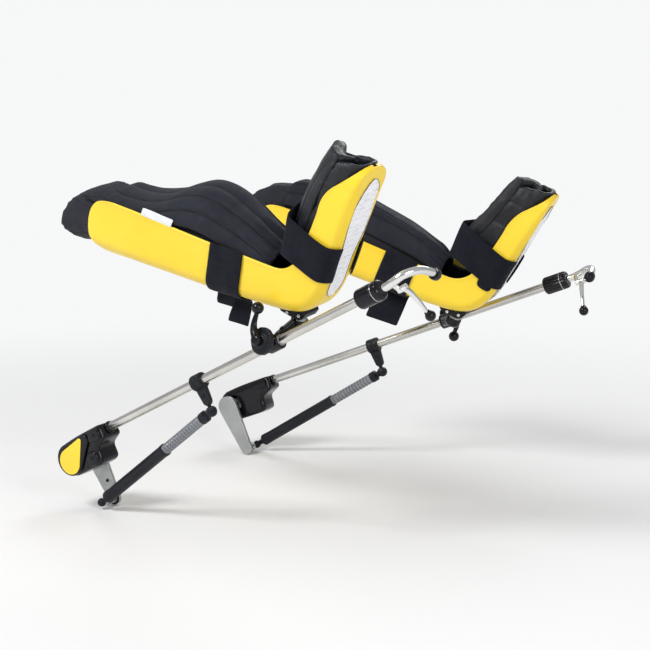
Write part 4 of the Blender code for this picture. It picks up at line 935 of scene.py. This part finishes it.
def calf_point(side, sign, x, angle, inset):
    """Point of the calf wrap at x, angle from its ridge, a distance under its face."""
    top = between(WRAP_TOP[side], x)
    sag = CALF_DROP * max(0.0, (-0.560 - x) / 0.030)
    _, fz, _, rz, _, half_rim, _ = station_at(x)
    low = fz + SHELL + PAD_GAP + inset - sag
    high = top - inset
    half = half_rim - SHELL - PAD_GAP - inset - 0.0052
    middle = min(rz - 0.010, (low + high) / 2) - sag
    turn_y, turn_z = sin(angle), cos(angle)
    y = half * abs(turn_y) ** 0.75 * (1 if turn_y >= 0 else -1)
    reach = (high - middle) if turn_z > 0 else (middle - low)
    z = middle + reach * abs(turn_z) ** 0.9 * (1 if turn_z >= 0 else -1)
    if turn_z > 0:
        y -= sign * CALF_LEAN * turn_z * (1 - abs(turn_y)) * 1.6
    else:
        y *= 1 - 0.14 * turn_z * turn_z
    past = CALF_PAD_BOW * max(0.0, (-0.52 - x) / 0.07) * abs(turn_y) ** 1.5
    return (x - past, y, z)


def sole_line(z):
    """Inner face of the shell's sole, at z up the foot."""
    lines = SHELL_LINES[CALF_SHELLS + 3:]
    for low, high in zip(lines, lines[1:]):
        if z <= high[1]:
            break
    share = (z - low[1]) / (high[1] - low[1])
    return low[0] + (high[0] - low[0]) * share - SHELL


def foot_point(side, sign, z, angle, inset):
    """Point of the foot padding at z, angle from the sole, a distance under its face."""
    dorsal = between(FOOT_TOP[side], z) + inset
    sole = sole_line(min(z, 0.266)) - PAD_GAP - inset
    half = 0.0465 - inset
    if z > 0.21:
        half -= 0.16 * (z - 0.21)
    middle, reach = (sole + dorsal) / 2, (sole - dorsal) / 2
    turn_y, turn_x = sin(angle), cos(angle)
    across = half * abs(turn_y) ** 0.6 * (1 if turn_y >= 0 else -1)
    along = middle + reach * abs(turn_x) ** 0.7 * (1 if turn_x >= 0 else -1)
    if turn_x < 0:
        along += sign * FOOT_LEAN * turn_y * -turn_x * 1.6
    return (along, across, z + 0.10 * (middle - along))


# ---- padding, blown up as cloth ----

def padded_piece(side, name, form, paint, at, node, cap, pinned, grooves, wrinkle=0.0007):
    """Voxel remesh, cloth under pressure with seams held, then seams and wrinkles."""
    obj = mesh_object(f"{side}_{name}", form)
    step = obj.modifiers.new("grid", "REMESH")
    step.mode = "VOXEL"
    step.voxel_size = VOXEL
    bake_modifiers(obj)
    blow_up(obj, cap, pinned)
    step = obj.modifiers.new("finer", "SUBSURF")
    step.levels = step.render_levels = 1
    bake_modifiers(obj)
    shape_fabric(obj.data, grooves, wrinkle)
    old = obj.data.attributes.get("loc")
    if old:
        obj.data.attributes.remove(old)
    layer = obj.data.attributes.new("loc", "FLOAT_VECTOR", "POINT")
    layer.data.foreach_set("vector", vectors(obj.data.vertices, "co").astype(np.float32).ravel())
    finished(obj, side, "boot", paint, at, node, sharp=0)


def vectors(items, name):
    flat = np.zeros(len(items) * 3)
    items.foreach_get(name, flat)
    return flat.reshape(-1, 3)


def blow_up(obj, cap, pinned):
    """Cloth under inner pressure; held points stay, and no point moves further than cap."""
    start = vectors(obj.data.vertices, "co")
    held = obj.vertex_groups.new(name="held")
    for index, place in enumerate(start):
        weight = pinned(place)
        if weight > 0:
            held.add([index], weight, "REPLACE")
    cloth = obj.modifiers.new("cloth", "CLOTH")
    cloth.settings.quality = 4
    cloth.settings.mass = 0.25
    cloth.settings.use_pressure = True
    cloth.settings.uniform_pressure_force = PRESSURE
    cloth.settings.effector_weights.gravity = 0.0
    cloth.settings.vertex_group_mass = "held"
    cloth.point_cache.frame_start = 1
    cloth.point_cache.frame_end = LAST_FRAME
    scene = bpy.context.scene
    for number in range(1, LAST_FRAME + 1):
        scene.frame_set(number)
    graph = bpy.context.evaluated_depsgraph_get()
    move = vectors(obj.evaluated_get(graph).data.vertices, "co") - start
    length = np.linalg.norm(move, axis=1, keepdims=True)
    move *= np.minimum(1.0, cap / np.maximum(length, 1e-9))
    obj.modifiers.clear()
    obj.data.vertices.foreach_set("co", (start + move).ravel())
    scene.frame_set(1)
    obj.vertex_groups.clear()


def shape_fabric(mesh, grooves, wrinkle):
    """Sewn grooves and small wrinkles, moved along the normals."""
    places = vectors(mesh.vertices, "co")
    normals = vectors(mesh.vertex_normals, "vector")
    push = np.array([-grooves(p) + wrinkle * noise.noise(Vector(p) * 26.0)
                     + 0.6 * wrinkle * noise.noise(Vector((p[0] * 80, p[1] * 80, p[2] * 40))) for p in places])
    mesh.vertices.foreach_set("co", (places + normals * push[:, None]).ravel())
    mesh.update()


def valley(distance, width, depth):
    """Depth of a rounded groove at a distance from its line."""
    return depth * max(0.0, 1 - abs(distance) / width) ** 2


def calf_padding(side, sign, at):
    xs = np.linspace(CALF_TOP[side][0][0], CALF_TOP[side][-1][0], 34)
    count = 44

    def ring(x, inset):
        return [calf_point(side, sign, float(x), 2 * pi * (k + 0.5) / count, inset) for k in range(count)]

    def seam(p):
        across = atan2(p[1], p[2] + 0.03)
        return min(abs(across - a) for a in SEAM_ANGLES)

    def pinned(p):
        return 1.0 if seam(p) < 0.035 else 0.0

    def grooves(p):
        return valley(seam(p) * 0.07, 0.004, 0.0015) + valley(p[0] - (xs[0] + 0.030), 0.004, 0.0012)
    form = Form().loft([ring(x, 0.0030) for x in xs] + [ring(x, CALF_PAD - 0.002) for x in xs[::-1]], close=True)
    padded_piece(side, "calf_padding", form, "pad_charcoal", at, "calf_pad", 0.006, pinned, grooves)


def tucked(point, x, gap):
    """Keep a point inside the shell's wall while it is below the rim."""
    _, _, _, rz, _, half_rim, _ = station_at(x)
    free = min(1.0, max(0.0, (point[2] - rz - 0.002) / 0.010))
    limit = half_rim - SHELL - gap + 0.012 * free
    return (point[0], max(-limit, min(limit, point[1])), point[2])


def calf_flap(side, sign, at):
    """Quilted top layer of the calf wrap; its channels run to the ankle, where it is gathered."""
    start, end = (-0.535 if side == "right" else -0.512), -0.118
    rows, cols = 84, 92
    low, high = radians(FLAP_EDGES[0]), radians(FLAP_EDGES[1])
    outer, inner, locs = [], [], []
    for r in range(rows + 1):
        v = r / rows
        hem = high - radians(19) * max(0.0, 1 - v / 0.5) ** 1.3
        seams = [FLAP_EDGES[0]] + [a * (1 - v) + b * v for a, b in FLAP_SEAMS] + [FLAP_EDGES[1]]
        fade = min(1.0, v / 0.03, (1 - v) / 0.04)
        lo_row, hi_row, loc = [], [], []
        for c in range(cols + 1):
            u = c / cols
            angle = low + (hem - low) * u
            degrees = (low + (high - low) * u) * 180 / pi
            puff, seam = 0.0, 0.0
            for a, b in zip(seams, seams[1:]):
                if a <= degrees <= b:
                    share = (degrees - a) / (b - a)
                    puff = sin(pi * share) ** 0.38 * min(1.0, (b - a) / 14.0)
                    seam = max(0.0, 1 - min(share, 1 - share) * (b - a) / 1.4)
            gather = 0.0030 * max(0.0, (v - 0.80) / 0.20)
            pleats = gather * sin(degrees * 0.42 + 3.0 * noise.noise(Vector((u * 3, v * 2, side == "left"))))
            drape = 0.0016 * noise.noise(Vector((u * 5.0, v * 9.0, 3.0 * sign)))
            lift = 0.0012 + (0.0052 * puff + drape) * fade + pleats
            tip = max(0.0, 1 - v / 0.07) * max(0.0, (u - 0.80) / 0.20)
            x = start + (end - start) * v - 0.034 * tip * tip
            rise = Vector((0, sign * 0.0014, 0.007)) * tip ** 2
            for row, inset, gap in ((lo_row, -0.0008, 0.0014), (hi_row, -(lift + FLAP_THICK * 0.75), 0.0008)):
                place = Vector(calf_point(side, sign, x, sign * angle, inset)) + rise
                row.append(tucked(place, x, gap))
            # third channel is 1 along the seams and at the edges: the mask for the painted shade in wrap_cloth
            loc.append((x, angle * 0.07, max(seam, 1 - min(1.0, u / 0.012, (1 - u) / 0.012, v / 0.008))))
        outer.append(hi_row)
        inner.append(lo_row)
        locs.append(loc)
    obj = piece(side, "calf_flap", Form().walled(outer, inner, locs), "boot", "wrap_cloth", at,
                subdivide=1)


def raised(point, z):
    """Liner's top, higher at the sole than at the instep."""
    x, y, height = point
    return (x, y, height + 0.30 * (x + 0.030) * max(0.0, (float(z) - 0.16) / 0.10) ** 2)


def foot_padding(side, sign, at):
    """U-shaped liner inside the foot shell, and the tongue over the instep."""
    def shell_of(zs, middle, reach, inset, fold):
        """Rings of a thick curved sheet; reach and fold are functions of z."""
        rings = []
        for z in (float(z) for z in zs):
            angles = [middle - reach(z) + 2 * reach(z) * k / 36 for k in range(37)]
            outer = [foot_point(side, sign, z, a, inset) for a in angles]
            inner = [foot_point(side, sign, z, a, fold(z)) for a in angles]
            rings.append((z, outer + inner[::-1]))
        return rings

    def pinned(p):
        return 1.0 if abs((p[2] - 0.03) % 0.055 - 0.027) < 0.0030 and p[2] > 0.07 else 0.0

    def grooves(p):
        return valley((p[2] - 0.03) % 0.055 - 0.027, 0.005, 0.0016) if p[2] > 0.07 else 0.0
    liner = shell_of(np.linspace(0.050, 0.262, 30), 0.0, lambda z: radians(118), 0.0022, lambda z: 0.0135)
    form = Form().loft([[raised(p, z) for p in ring] for z, ring in liner])
    padded_piece(side, "foot_liner", form, "liner_nylon", at, "foot_pad", 0.005, pinned, grooves, 0.0026)

    def tongue_reach(z):
        return radians(72) * (1.0 - 0.12 * max(0.0, (z - 0.235) / 0.037) ** 2)

    def tongue_fold(z):
        return 0.0125 + 0.034 * min(1.0, max(0.0, (z - 0.19) / 0.06)) ** 1.3

    def tongue_pins(p):
        return 1.0 if abs(abs(p[1]) - 0.030) < 0.0028 else 0.0

    def tongue_grooves(p):
        return valley(abs(p[1]) - 0.030, 0.005, 0.0016)
    tongue = shell_of(np.linspace(0.046, 0.272, 34), pi, tongue_reach, -0.0015, tongue_fold)
    padded_piece(side, "foot_tongue", Form().loft([ring for _, ring in tongue]), "liner_nylon", at, None,
                 0.006, tongue_pins, tongue_grooves, 0.0016)


def heel_liner(side, sign, at):
    """Thin padding that lines the heel between the calf wrap and the foot liner."""
    outer, inner = [], []
    for i in range(33):
        t = 4.6 + 5.6 * i / 32
        station = shell_station(t)
        ripple = 0.0012 * sin(i * 1.7)
        outer.append(shell_section(station, sign, SHELL + 0.0010, 0.90))
        inner.append(shell_section(station, sign, SHELL + 0.0075 + ripple, 0.88))
    obj = piece(side, "heel_liner", Form().walled(outer, inner), "boot", "liner_nylon", at,
                subdivide=1)


def thick_rows(rows, depth, centre):
    """Second grid, offset along the normals away from a centre."""
    grid = np.array(rows, float)
    along = np.gradient(grid, axis=1)
    across = np.gradient(grid, axis=0)
    normal = np.cross(along, across)
    normal /= np.maximum(np.linalg.norm(normal, axis=2, keepdims=True), 1e-9)
    away = grid - np.array(centre)
    if float((normal * away).sum()) < 0:
        normal = -normal
    return (grid + normal * depth).tolist()


def strap(side, name, rows, thick, centre, at, node=None):
    """Webbing through a grid of points, rows across its width."""
    grid = np.array(rows)
    lengths = np.concatenate([[0], np.cumsum(np.linalg.norm(np.diff(grid[0], axis=0), axis=1))])
    width = float(np.linalg.norm(grid[-1, 0] - grid[0, 0]))
    locs = [[(float(u), width * r / (len(rows) - 1), 0.0) for u in lengths] for r in range(len(rows))]
    form = Form().walled(thick_rows(rows, thick, centre), rows, locs)
    piece(side, name, form, "boot", "strap_black", at, node, subdivide=1)


def straps(side, sign, at):
    rows = []
    for step in range(11):
        share = step / 10
        x = CALF_STRAP_X[0] + (CALF_STRAP_X[1] - CALF_STRAP_X[0]) * share
        row = shell_section(station_at(x), sign, -(STRAP_GAP + 0.0018), 1.045)
        wave = 0.0006 * sin(step * 1.1)
        rows.append([(px, py * (1 + wave / 0.06), pz) for px, py, pz in row])
    strap(side, "calf_webbing", rows, STRAP_THICK, (-0.21, 0, -0.03), at, "calf_strap")

    line = smooth_line([(x, y, 0.0) for x, y in FOOT_STRAP_LINE], 6)
    grid = []
    for edge in range(9):
        row = []
        part = edge / 8
        for x, y, _ in line:
            share = min(1.0, max(0.0, -x / 0.10))
            share = share * share * (3 - 2 * share) * 0.4 + share * 0.6
            low, high = [a + (b - a) * share for a, b in FOOT_STRAP_EDGES]
            bend = sign * FOOT_LEAN * 0.8 * (y / 0.05) if x < -0.09 else 0.0
            place = x + bend * min(1.0, (-x - 0.09) / 0.03)
            ripple = 0.0007 * sin(part * 5.0 + y * 60)
            level = low + (high - low) * part
            slant = 0.13 * (level - 0.045) * min(1.0, max(0.0, (x + 0.03) / 0.03))
            row.append((place - ripple + slant, y * (1 + ripple / 0.05), level))
        grid.append(row)
    strap(side, "foot_webbing", grid, STRAP_THICK, (-0.04, 0, 0.08), at, "foot_strap")

    # loose ends of the calf strap, hanging under the shell
    tails = ([(-0.262, -0.205, 0.026, 0.010), (-0.214, -0.166, 0.042, -0.012)] if side == "right"
             else [(-0.246, -0.170, 0.062, -0.014)])
    for number, (x0, x1, drop, lean) in enumerate(tails):
        rows = []
        for i in range(9):
            x = x0 + (x1 - x0) * i / 8
            row = []
            for k in range(15):
                v = k / 14
                level = station_at(x)[1] - 0.0048 - 0.004 * number
                along = v * (drop + 0.018)
                bend = min(1.0, along / 0.018)
                y = sign * (0.018 - 0.016 * sin(bend * pi / 2)) + lean * v
                z = level - 0.016 * (1 - cos(bend * pi / 2)) - max(0.0, along - 0.018)
                row.append((x + 0.006 * v * v + 0.002 * sin(v * 4), y + 0.002 * sin(v * 6 + i * 0.3), z))
            rows.append(row)
        strap(side, f"strap_tail_{number + 1}", rows, 0.0022, (-0.21, sign * 0.08, -0.12), at)

    # hook patch under the foot strap's inner end
    outline = smooth_line([(-0.030, 0.022), (-0.004, 0.020), (0.001, 0.034), (-0.003, 0.058),
                           (-0.030, 0.062), (-0.034, 0.042)], 4, closed=True)
    patch = Form().slab(outline, -sign * 0.0534, -sign * 0.0552, 0.0007)
    piece(side, "hook_patch", patch, "boot", "strap_black", at)


def sole_label(side, sign, at):
    """Plain foot-shaped film on the sole, with soft line marks and no lettering."""
    table = [(-0.012, 0.003), (-0.004, 0.016), (0.012, 0.0225), (0.040, 0.0225), (0.080, 0.0225), (0.120, 0.0285),
             (0.160, 0.0345), (0.195, 0.0345), (0.218, 0.0275), (0.235, 0.0170), (0.246, 0.004)]
    lines = SHELL_LINES[CALF_SHELLS + 2:]
    face = [(row[1], row[0]) for row in lines]
    outer, inner, locs = [], [], []
    for i in range(49):
        z = table[0][0] + (table[-1][0] - table[0][0]) * i / 48
        half = between(table, z)
        middle = sign * (0.004 - 0.010 * max(0.0, (z - 0.08) / 0.17))
        floor = between(face, z)
        row_out, row_in, loc = [], [], []
        for k in range(17):
            y = middle + half * (k - 8) / 8
            over = max(0.0, abs(y) - (SOLE_HALF - SOLE_CORNER))
            drop = SOLE_CORNER - sqrt(max(0.0, SOLE_CORNER ** 2 - min(over, 0.0248) ** 2))
            row_out.append((floor - drop + 0.0011, y, z))
            row_in.append((floor - drop + 0.0003, y, z))
            loc.append((y, z, 0.0))
        outer.append(row_out)
        inner.append(row_in)
        locs.append(loc)
    piece(side, "sole_film", Form().walled(outer, inner, locs), "boot", "label_film", at)
    border = [(row[0][0] + 0.0002, row[0][1], row[0][2]) for row in outer]
    border += [(row[-1][0] + 0.0002, row[-1][1], row[-1][2]) for row in outer[::-1]]
    piece(side, "film_border", Form().sweep(border[::2], 0.00055, sides=8, steps=2), "boot", "black_satin", at)


def care_tag(side, sign, at):
    """Blank cloth tag caught in the wrap's edge."""
    rows = []
    for i in range(9):
        row = []
        for k in range(7):
            x = -0.422 + 0.078 * i / 8
            _, _, _, rz, _, half_rim, _ = station_at(x)
            up = 0.0155 * k / 6
            out = half_rim + 0.0009 - 0.0040 * (k / 6) ** 1.5 + 0.0007 * sin(i * 0.9 + k * 0.4)
            row.append((x, sign * out, rz - 0.0015 + up))
        rows.append(row)
    locs = [[(0.009 * i, 0.003 * k, 0.0) for k in range(7)] for i in range(9)]
    form = Form().walled(thick_rows(rows, 0.0011, (-0.38, 0, 0)), rows, locs)
    piece(side, "care_tag", form, "boot", "tag_cloth", at, subdivide=1)


def bracket_bolts(side, sign, at):
    form = Form()
    for way in (-1, 1):
        for x, z in ((-0.072, -0.0755), (-0.045, -0.0705)):
            screw_head(form, (x, way * 0.0229, z), (0, way, 0), 0.0036)
    piece(side, "bracket_bolts", form, "boot", "steel", at)


# ---------------------------------------------------------------- the pair

KEPT = {"mount_plate": "plate_grey", "hip_lug": "plate_grey", "strut_stud": "plate_grey", "hip_yoke": "plate_grey",
        "release_rod": "plate_grey", "strut_top": "black_satin", "clamp_liner": "plate_grey",
        "boot_ball": "plate_grey", "heel_bracket": "black_satin"}

for side_name, side_sign in SIDES.items():
    places, strut_length = body_frames(side_name, side_sign)
    hip(side_name, side_sign, places)
    rod_and_strut(side_name, side_sign, places, strut_length)
    for build in (handle, clamp, boot_shell, calf_padding, calf_flap, foot_padding, heel_liner, straps,
                  sole_label, care_tag, bracket_bolts):
        build(side_name, side_sign, places)
    for node, paint in KEPT.items():
        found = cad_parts[f"{side_name}_{node}"]
        for index in range(len(found.material_slots)):
            found.material_slots[index].material = PAINTS[paint].material


# ---------------------------------------------------------------- stage, light and camera

PAPER = (0.93, 0.935, 0.94, 1.0)


def far_floor(paint):
    """Let the floor fade into the backdrop's own colour away from the stirrups, so no horizon shows."""
    output = next(n for n in paint.tree.nodes if n.type == "OUTPUT_MATERIAL")
    near = output.inputs["Surface"].links[0].from_socket
    length = paint.step("VectorMath")
    length.operation = "LENGTH"
    ramp = paint.step("MapRange", From_Min=0.55, From_Max=2.6)
    ramp.interpolation_type = "SMOOTHSTEP"
    glow = paint.step("Emission", Color=PAPER)
    mixer = paint.step("MixShader")
    for source, target in ((paint.step("TexCoord").outputs["Object"], length.inputs[0]),
                           (length.outputs["Value"], ramp.inputs["Value"]),
                           (ramp.outputs["Result"], mixer.inputs[0]), (near, mixer.inputs[1]),
                           (glow.outputs[0], mixer.inputs[2]), (mixer.outputs[0], output.inputs["Surface"])):
        link(paint.tree, source, target)


def floor_plane():
    far_floor(PAINTS["floor_paper"])
    bm = bmesh.new()
    bmesh.ops.create_circle(bm, cap_ends=True, segments=96, radius=40.0)
    mesh = bpy.data.meshes.new("floor")
    bm.to_mesh(mesh)
    bm.free()
    floor = in_scene("floor", mesh)
    floor.location = (0.35, 0.27, CAD_BOX[0][2] - 0.001)
    mesh.materials.append(PAINTS["floor_paper"].material)


def area_light(name, place, size, power, aim=(0.3, 0.3, 0.25)):
    data = bpy.data.lights.new(name, "AREA")
    data.shape = "DISK"
    data.size = size
    data.energy = power
    lamp = in_scene(name, data)
    lamp.location = place
    lamp.rotation_euler = (Vector(aim) - Vector(place)).to_track_quat("-Z", "Y").to_euler()


def studio():
    """Floor, lamps, and a world that lights at half strength but looks as pale as the floor."""
    floor_plane()
    world = bpy.data.worlds.new("studio")
    world.use_nodes = True
    tree = world.node_tree
    back = tree.nodes["Background"]
    seen, path, mixer = [tree.nodes.new("ShaderNode" + kind) for kind in ("Background", "LightPath", "MixShader")]
    for node, colour, strength in ((back, (0.97, 0.98, 1.0, 1), 0.46), (seen, PAPER, 1.0)):
        node.inputs["Color"].default_value = colour
        node.inputs["Strength"].default_value = strength
    link(tree, path.outputs["Is Camera Ray"], mixer.inputs[0])
    link(tree, back.outputs[0], mixer.inputs[1])
    link(tree, seen.outputs[0], mixer.inputs[2])
    link(tree, mixer.outputs[0], tree.nodes["World Output"].inputs["Surface"])
    bpy.context.scene.world = world
    area_light("key", (-0.9, -2.4, 3.0), 1.3, 105)
    area_light("fill", (3.3, -1.7, 1.6), 1.4, 34)
    area_light("back", (0.2, 3.0, 2.6), 1.6, 30)


def camera():
    data = bpy.data.cameras.new("camera")
    data.lens = 100.4
    data.sensor_width = 36.0
    data.clip_end = 200.0
    made = in_scene("camera", data)
    right, up, back = (0.8746, 0.4848, 0.0), (-0.0758, 0.1368, 0.9876), (0.4788, -0.8638, 0.1564)
    pose = Matrix((right, up, back)).transposed().to_4x4()
    pose.translation = Vector((2.272, -3.083, 0.874))
    made.matrix_world = pose
    bpy.context.scene.camera = made


studio()
camera()
bpy.context.scene.view_settings.view_transform = "Standard"
bpy.context.view_layer.update()
